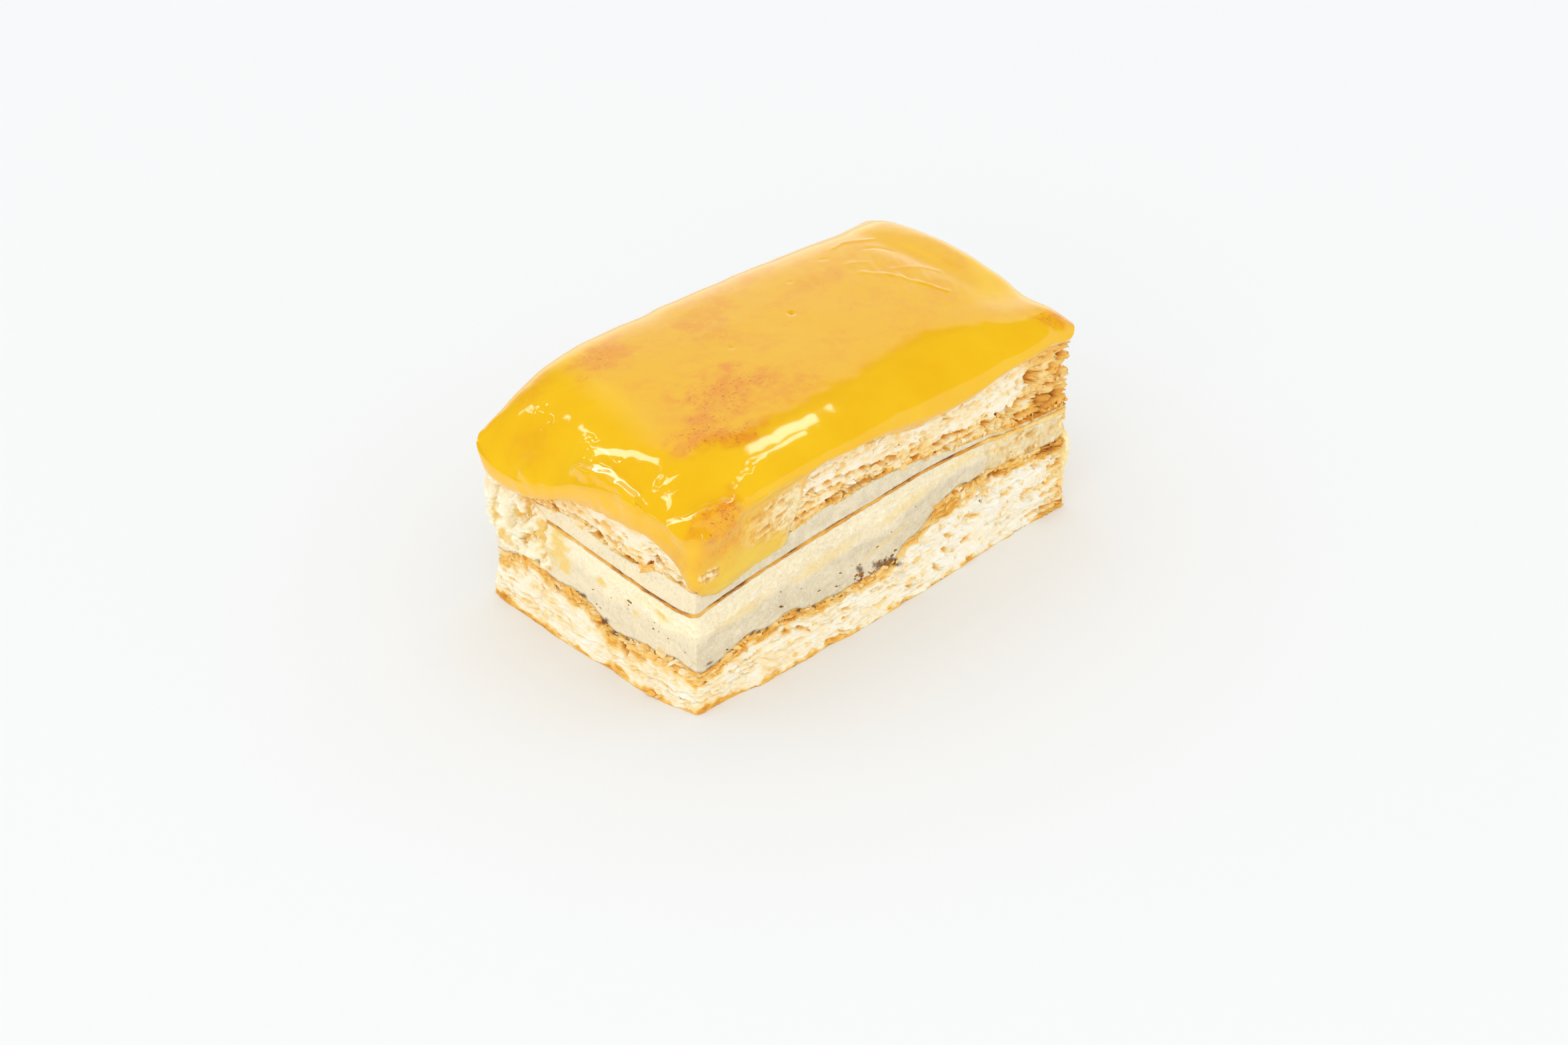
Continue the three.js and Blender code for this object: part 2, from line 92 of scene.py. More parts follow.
def noise(points, size, seed):
    """A smooth random field, about -1 to 1, whose features are `size` across."""
    grid = points / np.asarray(size, float) + 17.31 * seed
    cell = np.floor(grid).astype(np.int64)
    part = grid - cell
    fade = part ** 3 * (part * (part * 6 - 15) + 10)
    total = np.zeros(len(points))
    for corner in itertools.product((0, 1), repeat=3):
        mixed = ((cell + corner) * (73856093, 19349663, 83492791)).sum(axis=1)
        mixed = (mixed ^ (mixed >> 13)) * 1274126177
        gradient = GRADIENTS[(mixed >> 7) & 1023]
        weight = np.where(corner, fade, 1 - fade).prod(axis=1)
        total += weight * (gradient * (part - corner)).sum(axis=1)
    return 1.6 * total


def smooth_step(values, low, high):
    """0 below `low`, 1 above `high` and a soft step between."""
    share = np.clip((values - low) / (high - low), 0, 1)
    return share * share * (3 - 2 * share)


def mound(points, middle, half, axis=1):
    """1 at a middle on x and one other axis, fading over half a width on each."""
    first, second = points[:, 0] - middle[0], points[:, axis] - middle[1]
    return np.exp(-(first / half[0]) ** 2 - (second / half[1]) ** 2)


def spot(points, x, y, half_width):
    """1 in the middle of a round spot, fading over half its width."""
    return np.exp(-((points[:, 0] - x) ** 2 + (points[:, 1] - y) ** 2) / half_width ** 2)


# ---- The slab's outline, read from the frame --------------------------------------------

SLAB_LOW, SLAB_HIGH = (np.array(corner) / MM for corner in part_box("lower_custard"))
CENTRE = (SLAB_LOW + SLAB_HIGH)[:2] / 2
HALF = (SLAB_HIGH - SLAB_LOW)[:2] / 2


def outline(turn, share, out, radius):
    """Points on a rounded rectangle that stands `out` proud of the slab: `share` of the way
    along side `turn`, counter-clockwise, from the middle of one corner to the next."""
    turn = np.asarray(turn)
    run = np.where(turn % 2, HALF[1], HALF[0]) + out - radius
    stand = np.where(turn % 2, HALF[0], HALF[1]) + out - radius
    bow = radius * np.pi / 4
    way = (2 * share - 1) * (run + bow)
    straight = np.clip(way, -run, run)
    angle = (way - straight) / radius
    x = straight + np.sin(angle) * radius
    y = -stand - np.cos(angle) * radius
    turned = turn * np.pi / 2
    return np.stack([x * np.cos(turned) - y * np.sin(turned),
                     x * np.sin(turned) + y * np.cos(turned)], axis=-1)


def side_columns():
    """Side number and share along it of every column of faces round the slab."""
    counts = [LONG_COLUMNS, SHORT_COLUMNS, LONG_COLUMNS, SHORT_COLUMNS]
    turn = np.repeat(np.arange(4), counts)
    share = np.concatenate([np.arange(count) / count for count in counts])
    return turn, share


TURN, SHARE = side_columns()
COLUMNS = len(TURN)
EDGE = outline(TURN, SHARE, 0, CUT_CORNER)
ALONG = np.where(TURN % 2, EDGE[:, 1], EDGE[:, 0])
COLUMN_STEP = 2 * (HALF.sum() * 2) / COLUMNS


def even_out(ring, width):
    """Blurs a closed ring of values, or rows of them, over about `width` mm."""
    waves = np.fft.rfftfreq(COLUMNS, COLUMN_STEP)
    return np.fft.irfft(np.fft.rfft(ring) * np.exp(-2 * (np.pi * waves * width) ** 2), COLUMNS)


def solid(node):
    """A solid of the frame, ready to be measured by rays."""
    mesh = frame["nodes"][node].data
    return BVHTree.FromPolygons([v.co for v in mesh.vertices], [p.vertices for p in mesh.polygons])


def layer_top(node):
    """Height of a layer's top, with half the gap above it, just inside the cut faces."""
    tree = solid(node)
    heights = []
    for point in outline(TURN, SHARE, -0.6, CUT_CORNER):
        hit = tree.ray_cast(Vector((*(point + CENTRE), OVERHEAD)) * MM, Vector((0, 0, -1)))[0]
        heights.append(hit.z / MM if hit else np.nan)
    return np.array(heights) + HALF_GAP


def probes(radius):
    """Start and way of a level ray in each column, from outside the slab to inside it."""
    start = outline(TURN, SHARE, PROBE_OUT, radius)
    return start + CENTRE, outline(TURN, SHARE, -PROBE_IN, radius) - start


def stand_off(tree, start, way, height, missed):
    """How far a solid stands out from the slab where a level ray first meets it."""
    length = np.hypot(*way)
    hit = tree.ray_cast(Vector((*start, height)) * MM, Vector((*way, 0)), length * MM)
    return PROBE_OUT - (PROBE_OUT + PROBE_IN) * (hit[3] / MM) / length if hit[0] else missed


# ---- Mesh building -------------------------------------------------------------------------

def edit(piece):
    bpy.ops.object.mode_set(mode="EDIT")
    return bmesh.from_edit_mesh(piece.data)


def choose(piece, mode, wanted):
    """Selects in edit mode exactly those faces or edges that `wanted` is true of."""
    bpy.ops.mesh.select_mode(type=mode)
    bpy.ops.mesh.select_all(action="DESELECT")
    mesh = bmesh.from_edit_mesh(piece.data)
    for element in (mesh.faces if mode == "FACE" else mesh.edges):
        element.select_set(wanted(element))
    bmesh.update_edit_mesh(piece.data)


def new_piece(name, primitive, **sizes):
    """Adds a mesh primitive under a name, with nothing else selected."""
    bpy.ops.object.select_all(action="DESELECT")
    primitive(**sizes)
    piece = bpy.context.object
    piece.name = piece.data.name = name
    return piece


def corners(piece):
    """The vertices of a piece as an array."""
    flat = np.empty(len(piece.data.vertices) * 3)
    piece.data.vertices.foreach_get("co", flat)
    return flat.reshape(-1, 3)


def place_corners(piece, points):
    """Moves the vertices to `points`, in mm from the slab's middle."""
    moved = points.copy()
    moved[:, :2] += CENTRE
    piece.data.vertices.foreach_set("co", (moved * MM).ravel())
    piece.data.update()


def paint(piece, name, values):
    """Stores a mask on the vertices for the finish to read."""
    mask = piece.data.attributes.new(name, "FLOAT", "POINT")
    mask.data.foreach_set("value", np.clip(values, 0, 1).astype(np.float32))


def shade_smooth(piece):
    piece.data.polygons.foreach_set("use_smooth", [True] * len(piece.data.polygons))


def is_upright(edge):
    low, high = sorted(vertex.co.z for vertex in edge.verts)
    return high - low > 0.5


def drum(name, rows):
    """A closed drum with a column for each place round the slab, `rows` bands up its wall,
    and an inner ring and a middle point on each end."""
    piece = new_piece(name, bpy.ops.mesh.primitive_cylinder_add,
                      vertices=COLUMNS, radius=1, depth=1, end_fill_type="NGON")
    edit(piece)
    choose(piece, "FACE", lambda face: abs(face.normal.z) > 0.5)
    bpy.ops.mesh.inset(thickness=0.5)
    bpy.ops.mesh.poke()
    choose(piece, "EDGE", is_upright)
    bpy.ops.mesh.subdivide(number_cuts=rows - 1)
    bpy.ops.object.mode_set(mode="OBJECT")
    return piece


class Wall:
    """A layer of the slab: its drum, and the column, row and ring of each of its vertices."""

    def __init__(self, name, low, high, rows):
        self.piece = drum(name, rows)
        self.low, self.high, self.rows, self.painted = low, high, rows, {}
        self.turn = np.tile(TURN, rows + 1)
        start = corners(self.piece)
        angle = np.arctan2(start[:, 1], start[:, 0]) / (2 * np.pi)
        self.column = np.rint(angle * COLUMNS).astype(int) % COLUMNS
        self.row = np.rint((start[:, 2] + 0.5) * rows).astype(int)
        self.radius = np.hypot(start[:, 0], start[:, 1])
        share = np.arange(rows + 1)[:, None] / rows
        height = low + (high - low) * share
        flat = np.broadcast_to(EDGE, (rows + 1, COLUMNS, 2))
        self.points = np.concatenate([flat, height[..., None]], axis=-1).reshape(-1, 3)

    def above(self, line):
        """How far each wall point lies above one of the slab's lines."""
        return self.points[:, 2] - np.tile(line, self.rows + 1)

    def field(self, values):
        """Values given wall point by wall point, as rows of columns."""
        return values.reshape(self.rows + 1, COLUMNS, *values.shape[1:])

    def shape(self, inset):
        """Moves each wall point `inset` in from the cut."""
        inner = outline(TURN, SHARE, -INNER_RING, CUT_CORNER)
        inner = np.broadcast_to(inner, (self.rows + 1, COLUMNS, 2))
        points = self.points.copy()
        points[:, :2] += (inner.reshape(-1, 2) - points[:, :2]) * (inset / INNER_RING)[:, None]
        self.placed = self.field(points)
        moved = points[self.row * COLUMNS + self.column]
        ring = self.radius < 0.75
        low, high = (even_out(line, 3)[self.column] for line in (self.low, self.high))
        edge = np.where(self.row == 0, low, high)
        moved[ring, :2] = inner[0][self.column[ring]]
        moved[ring, 2] = edge[ring]
        middle = self.radius < 0.1
        moved[middle, :2] = 0
        moved[middle, 2] = np.where(self.row[middle] == 0, self.low.mean(), self.high.mean())
        place_corners(self.piece, moved)
        shade_smooth(self.piece)

    def paint(self, name, values):
        self.painted[name] = self.field(values)
        paint(self.piece, name, values[self.row * COLUMNS + self.column])


# ---- Marks on the cut faces ----------------------------------------------------------------

# Hollows between the leaves on each side: place along it, height, half width, half height,
# depth, and how many degrees it slopes up to its right.
HOLLOWS = {
    FRONT: [    # 25 in the top pastry, then the bottom one's
        (-24, 37, 1.2, 0.7, 1.3, 0), (-19.5, 37, 1.7, 0.6, 1.4, -8),
        (-16.3, 37.2, 1.5, 0.5, 1.3, -15), (-13, 36.3, 2, 0.7, 1.5, -6),
        (-9.4, 36, 1.5, 0.7, 1.5, -10), (-4.6, 35, 2.4, 0.7, 1.6, -12),
        (0, 34.6, 2, 0.8, 1.5, -14), (-27.5, 34.8, 3.2, 0.45, 1.2, 0),
        (-18.4, 32.6, 1.3, 1, 1.8, 20), (-9.6, 32.2, 4.4, 1.3, 2.6, 0),
        (12.6, 32.6, 1.4, 0.6, 1.5, -10), (16.2, 33, 2.2, 0.6, 1.7, -4),
        (15.6, 30.6, 1.4, 0.6, 1.6, -25), (23, 30.6, 1.9, 0.6, 1.5, 0),
        (27.6, 31.5, 1.5, 0.9, 1.5, -30), (31.9, 31.6, 1.8, 0.55, 2.2, -40),
        (38.4, 32.3, 3.9, 1, 2.4, 0), (37.4, 37, 0.8, 1.3, 1.8, 0), (41.6, 37, 2.9, 1.9, 3.2, -12),
        (45, 30.6, 1.9, 1.6, 2.6, -20), (47, 33, 1.2, 0.8, 1.8, 0), (48, 37, 1.2, 0.9, 1.8, 0),
        (50.4, 29.8, 2.2, 1.3, 2.8, -15), (52, 34.6, 2, 1.2, 2, 0), (51.5, 38.6, 2.4, 0.9, 2, 0),
        (4.2, 2.7, 1.4, 0.5, 1.3, -48), (6.8, 1.3, 1, 0.4, 1, 0), (12.6, 3, 1.6, 0.6, 1.4, -45),
        (15.9, 5.9, 1.6, 0.6, 1.4, -38), (22.4, 5.4, 1.5, 0.6, 1.5, 12),
        (28.4, 14.2, 2.6, 1.7, 1.5, -25), (23.6, 9.9, 2, 1.6, 1.2, 0),
        (25, 19.4, 3.7, 0.6, 1.7, -6), (32.2, 17.5, 3.1, 0.8, 2.2, -6),
        (-30.6, 7.6, 1.3, 0.8, 1.2, 0), (-26.2, 6.2, 2.1, 0.6, 1.2, -28),
        (-45.8, 5.4, 1.2, 0.5, 0.8, -20), (45.5, 14, 1.8, 0.8, 1.2, 0), (51, 16, 1.6, 1, 1.6, -40),
        (47, 2.1, 5, 0.5, 1, 0), (43, 8.2, 2.4, 1.4, 1.2, 0), (35, 11, 2.2, 0.9, 1.2, 10),
        (17.5, 8.4, 1.8, 0.7, 1, -30),
    ],
    LEFT: [
        (-20.4, 30.1, 1.5, 0.6, 1.9, -14), (-17.8, 28.4, 1.4, 0.6, 1.5, 55),
        (-11.8, 26.7, 4, 0.7, 1.7, -6), (-3.6, 27.9, 2, 0.9, 1.7, -14),
        (-9.6, 5.4, 1.5, 0.7, 2, -55), (31, 1.4, 1, 0.8, 1.2, 0), (20, 26.2, 2.6, 1, 1.6, 0),
        (27, 26.4, 2.4, 1, 1.8, 0),
    ],
    RIGHT: [
        (-12, 33, 6, 1.6, 2.6, 0), (9, 36, 7, 1.4, 2.4, 4), (2, 29, 5, 1.2, 2, 0),
        (18, 7, 5, 1.4, 1.8, -6), (-20, 38, 5, 1.2, 2.2, 0), (22, 31.5, 4, 1, 1.8, 6),
    ],
    BACK: [
        (-30, 35, 6, 1.3, 2.4, 0), (6, 37, 7, 1.3, 2.4, -4), (30, 34, 5, 1.6, 2.4, 0),
        (-10, 5, 4, 1.2, 1.6, 10), (38, 8, 5, 1.3, 1.8, 0), (-12, 33.6, 4, 0.7, 1.6, 0),
    ],
}

# Scorched places along the crust under the custard: place, height, half sizes, slope.
SCORCHED = {
    FRONT: [
        (-9.8, 12.6, 1.8, 0.7, -50), (-3.4, 10.8, 3.4, 1.3, -25), (0.4, 9.9, 3, 1, -38),
        (-39.8, 12, 1.4, 0.4, 0), (-27, 10.8, 1.2, 0.5, -40), (-51.5, 10.3, 1.4, 0.35, 0),
    ],
    LEFT: [
        (-3.6, 8.6, 2, 0.7, 35), (-6.6, 7.2, 2.4, 0.5, 10), (2.8, 11.6, 1.8, 0.45, 10),
        (-24, 9.7, 1.6, 0.4, 0),
    ],
    RIGHT: [
        (-2, 13, 2.6, 0.5, 10),
    ],
    BACK: [
        (6, 10.4, 3, 0.5, -10),
    ],
}


def how_near(points, turn, side, mark):
    """0 in the middle of an oval mark on a side, 1 on its outline, growing outside it."""
    place, height, half_width, half_height = mark[:4]
    slope = np.radians(mark[-1])
    along = np.where(turn % 2, points[:, 1], points[:, 0]) - place
    if side in (BACK, LEFT):
        along = -along
    above = points[:, 2] - height
    level = along * np.cos(slope) + above * np.sin(slope)
    across = above * np.cos(slope) - along * np.sin(slope)
    far = np.hypot(level / half_width, across / half_height)
    return np.where(turn == side, far, 9.0)


def strongest(points, turn, marks, effect):
    """The most that `effect` gives at each place, of how near each of the marks is."""
    most = np.zeros(len(points))
    for side, given in marks.items():
        for mark in given:
            most = np.maximum(most, effect(how_near(points, turn, side, mark), mark))
    return most


def hollow_depth(points, turn):
    """Depth of the named hollows. Their outlines are ragged."""
    ragged = 0.45 * noise(points, (1.3, 1.3, 0.7), 31) + 0.28 * noise(points, 0.6, 32)
    return strongest(points, turn, HOLLOWS,
                     lambda far, mark: mark[4] * np.sqrt(np.clip(1.1 - (far + ragged), 0, 1)))


def scorch(points, turn):
    """How scorched a place is, from 0 to 1."""
    ragged = 0.4 * noise(points, 1.2, 33) + 0.3 * noise(points, 0.5, 34)
    return 0.9 * strongest(points, turn, SCORCHED,
                           lambda far, mark: smooth_step(1.2 - far - 1.3 * ragged, 0, 0.9))


# ---- Layers of the slab ------------------------------------------------------------------------

def ragged_line(ring, amount, seed):
    """A layer's edge with the small steps and waves of torn or spread stuff."""
    points = np.column_stack([EDGE, ring])
    waves = noise(points, 4, seed) + 0.6 * noise(points, 1.5, seed + 1) + 0.3 * noise(points, 0.7, seed + 2)
    return ring + amount * waves


TABLE = np.zeros(COLUMNS)
CRUST_LINE = ragged_line(even_out(layer_top("bottom_pastry"), 0.9), 0.4, 3)
SHEET_BASE = ragged_line(even_out(layer_top("lower_custard"), 1.5), 0.1, 5)
SHEET_LINE = ragged_line(even_out(layer_top("middle_pastry"), 1.5), 0.1, 6)
UPPER_LINE = ragged_line(even_out(layer_top("upper_custard"), 1.2), 0.16, 8)
SHOULDER = even_out(layer_top("top_pastry"), 1.5)

FOOT_HEIGHT = 9.0       # height over which the trodden-out foot of the slice swells


def foot_swell():
    """How far the foot of the bottom pastry stands proud, read off the solid."""
    tree = solid("bottom_pastry")
    swell = [stand_off(tree, start, way, 0.4, missed=0) for start, way in zip(*probes(CUT_CORNER))]
    return even_out(np.array(swell), 3) + 0.5


def leaf_steps(points, pitch, stretch, seed):
    """How far back each place lies in a stack of leaves, 0 to 1. Every leaf leans back as
    it goes up, to under the broken edge of the next one."""
    level = points[:, 2] / pitch
    index = np.floor(level)
    own = points.copy()
    own[:, 2] = index * 7.3
    reach = np.clip(0.42 + 0.8 * noise(own, (stretch, stretch, 1), seed), 0, 1)
    return reach * (level - index) ** 1.5


def leaves(points, pitch, open_share, seed):
    """Depth of the torn edge of puff pastry, in mm: leaves `pitch` apart, finer ones in
    them, gaps between them, and crumb. `open_share` says how far they have come apart."""
    bent = points.copy()
    bent[:, 2] += 1.0 * noise(points, (11, 11, 6), seed) + 0.4 * noise(points, (3, 3, 2.2), seed + 1)
    bent[:, 2] += 0.14 * noise(points, 0.9, seed + 2)
    crumb = noise(points, 0.9, seed + 4) + 0.7 * noise(points, 0.5, seed + 5)
    gaps = noise(bent, (4.2, 4.2, 0.75), seed + 6) + 0.4 * noise(bent, (1.3, 1.3, 0.5), seed + 7)
    gaps = smooth_step(gaps, 0.62 - 0.5 * open_share, 1.05 - 0.5 * open_share)
    return (1.7 * open_share * leaf_steps(bent, pitch, 4.5, seed + 2)
            + (0.2 + 0.5 * open_share) * leaf_steps(bent, 0.45 * pitch, 2.2, seed + 3)
            + (0.07 + 0.08 * open_share) * crumb + 1.0 * gaps)


def recess(wall, inset):
    """How much deeper each wall point lies than the wall around it, in mm."""
    field = wall.field(inset)
    level = even_out(field, 1.5)
    for _ in range(60):
        padded = np.pad(level, ((1, 1), (0, 0)), mode="edge")
        level = (padded[:-2] + 2 * padded[1:-1] + padded[2:]) / 4
    return (field - level).ravel()


def bubbles(points, turn, pitch, length, seed):
    """Rows of small hollows between leaves `pitch` apart, as a depth from 0 to 1."""
    level = points[:, 2] / pitch + 0.5 * noise(points, (9, 9, 5), seed)
    row = np.floor(level)
    along = np.where(turn % 2, points[:, 1], points[:, 0]) / length + 0.37 * row
    along += 0.5 * noise(points, (3, 3, 1.5), seed + 1)
    cell = np.floor(along)
    own = np.column_stack([cell * 0.731, row * 0.617, 0.5 * turn])
    size = (0.55 + 0.9 * noise(own, 1, seed + 2) + 0.5 * noise(points, (9, 9, 3), seed + 3)).clip(0.02, 1)
    far = np.hypot((along - cell - 0.5) / 0.52, (level - row - 0.5) / 0.42)
    return size * np.sqrt((1 - far / (0.3 + 0.7 * size)).clip(0, 1))


def pastry_toast_and_shade(points, deeper, crust, base, seed):
    """How browned the pastry is: by how far it is `crust` or `base`, 0 to 1, and where it
    lies deeper than around, where it is painted darker and more golden, partly for its
    toasting and partly as painted shade. What stands proud is palest."""
    patchy = noise(points, (5, 5, 2), seed) + 0.5 * noise(points, (1.8, 1.8, 0.8), seed + 1)
    # painted shade: the deeper a place lies than around, the darker and more golden it is painted
    recess_shade = 0.48 * np.clip(deeper - 0.1, -0.15, 0.8)
    return 0.17 + 0.5 * np.maximum(crust, base) + recess_shade + 0.14 * patchy


def bottom_puff():
    rows = 84
    wall = Wall("bottom_puff", TABLE, CRUST_LINE, rows)
    points, turn = wall.points, wall.turn
    below_top = -wall.above(CRUST_LINE)
    swell = np.tile(foot_swell(), rows + 1) * np.clip(1 - points[:, 2] / FOOT_HEIGHT, 0, 1) ** 1.3
    right_end = smooth_step(points[:, 0], 36, 54) * (turn < BACK)
    patchy = noise(points, (5, 5, 3), 47) + 0.6 * noise(points, (1.6, 1.6, 1), 49)
    steep = np.exp(-((points[:, 0] - 19) / 9) ** 2) * (turn == FRONT)
    left = turn == LEFT
    thick = 2.3 + 3.0 * steep + 0.8 * right_end + 1.0 * patchy + 0.9 * left
    crust = 1 - smooth_step(below_top, thick - 0.5, thick + 1.1)
    crust = crust * (0.74 - 0.24 * left + 0.36 * patchy)
    crust += 0.58 * right_end * smooth_step(points[:, 0] + 3 * patchy, 43, 53)
    base = 1 - smooth_step(points[:, 2], 0.2 + 0.8 * patchy, 1.2 + 1.0 * patchy + 0.8 * right_end)
    line = smooth_step(noise(points, (5, 5, 9), 45), -0.1, 0.4) * (1 - smooth_step(below_top, 0.1, 0.6))
    openness = 0.26 + 0.5 * noise(points, (12, 12, 4), 41) + 0.35 * crust + 0.2 * right_end
    slanted = points.copy()
    slanted[:, 2] += 0.8 * points[:, 0]
    shreds = noise(slanted, (2.6, 2.6, 0.8), 48)
    lumps = noise(points, (6, 6, 4), 161) + 0.5 * noise(points, (2.6, 2.6, 2), 162)
    inset = leaves(points, 1.15, np.clip(openness, 0.06, 1), 42) + hollow_depth(points, turn)
    holes = 1.1 * right_end * bubbles(points, turn, 2.2, 3.0, 160)
    inset += (0.2 * shreds + 0.4 * lumps) * (1 - crust.clip(0, 1)) + holes
    held = smooth_step(below_top, 0, 0.6) * smooth_step(points[:, 2], -0.6, 0.9)
    # The toast mask holds the browning and the painted shade of the recesses.
    toast = pastry_toast_and_shade(points, recess(wall, inset), crust, base * (0.75 + 0.45 * patchy), 46)
    inset = inset * (0.25 + 0.75 * held) - swell
    wall.shape(inset)
    golden = 0.07 * smooth_step(-points[:, 0], 5, 40) * (turn == FRONT)
    wall.paint("toast", toast + 0.42 * line + 0.07 * left + golden)
    wall.paint("scorch", scorch(points, turn))
    return wall


def top_puff():
    rows = 84
    wall = Wall("top_puff", UPPER_LINE, SHOULDER, rows)
    points, turn = wall.points, wall.turn
    above_base = wall.above(UPPER_LINE)
    right_end = smooth_step(points[:, 0], 34, 54)
    patchy = noise(points, (5, 5, 3), 57) + 0.6 * noise(points, (1.6, 1.6, 1), 59)
    pale = smooth_step(above_base, 3.0 + 1.2 * patchy, 5.2 + 1.2 * patchy)
    openness = 0.65 + 0.4 * noise(points, (12, 12, 4), 51) + 0.3 * right_end
    openness = openness - 0.45 * pale * (1 - right_end)
    left = turn == LEFT
    holes = bubbles(points, turn, 1.75, 2.3, 150) * (1 - 0.75 * pale)
    holes = holes * (1 - 0.7 * left) * (1 - 0.5 * right_end)
    inset = leaves(points, 1.75, np.clip(0.8 * openness, 0.12, 1), 52) + hollow_depth(points, turn)
    inset += 1.7 * holes
    inset += 1.1 * right_end * (turn == RIGHT)
    held = smooth_step(above_base, 0, 0.5)
    base = (0.28 - 0.14 * left) * (1 - pale) + 0.15 + 0.6 * smooth_step(points[:, 0] + 3 * patchy, 32, 47)
    base -= 0.3 * right_end * (turn == RIGHT)
    base += 0.3 * left * smooth_step(points[:, 1] + 2 * patchy, 8, 15)
    base += 0.35 * (1 - smooth_step(above_base, 0.2, 0.9 + 0.4 * patchy))
    # The toast mask holds the browning and the painted shade of the recesses.
    toast = pastry_toast_and_shade(points, recess(wall, inset), np.zeros(len(points)), base, 56)
    wall.shape(inset * (0.2 + 0.8 * held))
    wall.paint("toast", toast)
    wall.paint("scorch", np.zeros(len(points)))
    return wall


def muddled(points):
    """1 at the right end of the long face, where the custards and the sheet are smeared
    into each other."""
    wander = 5 * noise(points, (6, 6, 3), 67)
    return smooth_step(points[:, 0] + wander, 22, 36) * (1 - smooth_step(points[:, 1], -24, -14))


# Yellow stains on the custard: place, height, half sizes, slope.
STAINS = {
    FRONT: [
        (-42, 18, 7, 1.2, 8), (-20, 19.6, 9, 1.6, 6), (4, 22, 9, 1.2, 10), (-2, 16, 8, 0.7, 12),
        (20, 25.5, 6, 1.2, 8),
    ],
    LEFT: [
        (9.6, 20.5, 2.8, 5, 0), (8, 16.6, 2.2, 2.2, 0), (-3, 17.5, 1.6, 1.2, 0),
        (-20, 18, 2, 1, 0), (-13, 15, 1.2, 0.8, 0),
    ],
}


def stained(points, turn):
    """How far a place is stained, from 0 to 1. The stains are soft and patchy."""
    ragged = 0.5 * noise(points, (2.5, 2.5, 1.2), 75) + 0.3 * noise(points, 1, 76)
    return strongest(points, turn, STAINS, lambda far, mark: smooth_step(1.4 - far - ragged, 0, 1))


def custard_bed():
    rows = 48
    wall = Wall("custard_bed", CRUST_LINE, SHEET_BASE, rows)
    points, turn = wall.points, wall.turn
    above = wall.above(CRUST_LINE)
    share = above / np.tile(SHEET_BASE - CRUST_LINE, rows + 1)
    wander = noise(points, (16, 16, 4), 61) + 0.4 * noise(points, (5, 5, 2), 62)
    grainy = smooth_step(share + 0.14 * wander, 0.4, 0.75)
    muddle = muddled(points)
    grainy = grainy * (1 - 0.6 * muddle)
    slanted = points.copy()
    slanted[:, 2] += 0.55 * np.abs(points[:, 0] + points[:, 1])
    streaks = noise(slanted, (8, 8, 0.9), 68) + 0.5 * noise(slanted, (4, 4, 0.5), 69)
    drag = noise(points, (7, 7, 2.5), 63)
    lumps = noise(points, (1.7, 1.7, 1.2), 64) + 0.6 * noise(points, 0.7, 65)
    rugged = noise(points, (3, 3, 1.6), 70) + 0.6 * noise(points, 1.2, 60)
    inset = 0.08 * drag - 0.3 * grainy * lumps + 0.04 * noise(points, 0.5, 66) + 0.05 * streaks
    inset += muddle * (0.35 + 0.45 * rugged)
    wall.shape(inset)
    left = 0.22 * (turn == LEFT)
    # Painted shade: just above the crust line the custard is painted darker, and this goes into the scorch
    # mask.
    shade = 0.34 * (1 - smooth_step(above, 0, 0.5 + 0.6 * noise(points, (4, 4, 9), 77).clip(0)))
    wall.paint("rich", 0.12 + 0.5 * grainy + 0.14 * wander + 0.1 * streaks + left)
    wall.paint("grain", 0.5 + (0.15 + 0.4 * grainy) * lumps)
    wall.paint("scorch", np.maximum(scorch(points, turn), shade * (1 - muddle)))
    wall.paint("muddle", muddle * (0.7 + 0.5 * rugged))
    wall.paint("stain", stained(points, turn) * np.where(turn == LEFT, 1, 0.45))
    return wall


def custard_band():
    rows = 20
    wall = Wall("custard_band", SHEET_LINE, UPPER_LINE, rows)
    points, turn = wall.points, wall.turn
    drag = noise(points, (9, 9, 2.5), 71)
    muddle = muddled(points)
    rugged = noise(points, (3, 3, 1.6), 73) + 0.6 * noise(points, 1.2, 74)
    wall.shape(0.07 * drag + 0.04 * noise(points, 0.5, 72) + muddle * (0.4 + 0.45 * rugged))
    wall.paint("rich", 0.17 + 0.1 * drag + 0.34 * (turn == LEFT))
    wall.paint("grain", 0.5 + 0.1 * noise(points, 0.7, 78))
    wall.paint("scorch", np.zeros(len(points)))
    wall.paint("muddle", muddle * (0.8 + 0.5 * rugged))
    wall.paint("stain", 0.5 * stained(points, turn))
    return wall


def browned_sheet():
    rows = 6
    wall = Wall("browned_leaf", SHEET_BASE, SHEET_LINE, rows)
    points = wall.points
    torn = noise(points, (2.4, 2.4, 1.2), 81) + 0.5 * noise(points, 0.8, 82)
    share = np.repeat(np.arange(rows + 1) / rows, COLUMNS)
    wall.shape(0.12 + 0.22 * torn)
    patchy = noise(points, (6, 6, 3), 83) + 0.5 * noise(points, (1.5, 1.5, 0.6), 84)
    fade = muddled(points)
    wall.paint("toast", (0.64 + 0.22 * share + 0.25 * patchy) * (1 - 0.45 * fade))
    wall.paint("scorch", 0.75 * smooth_step(share + 0.45 * patchy, 0.62, 1.0) * (1 - fade))
    return wall
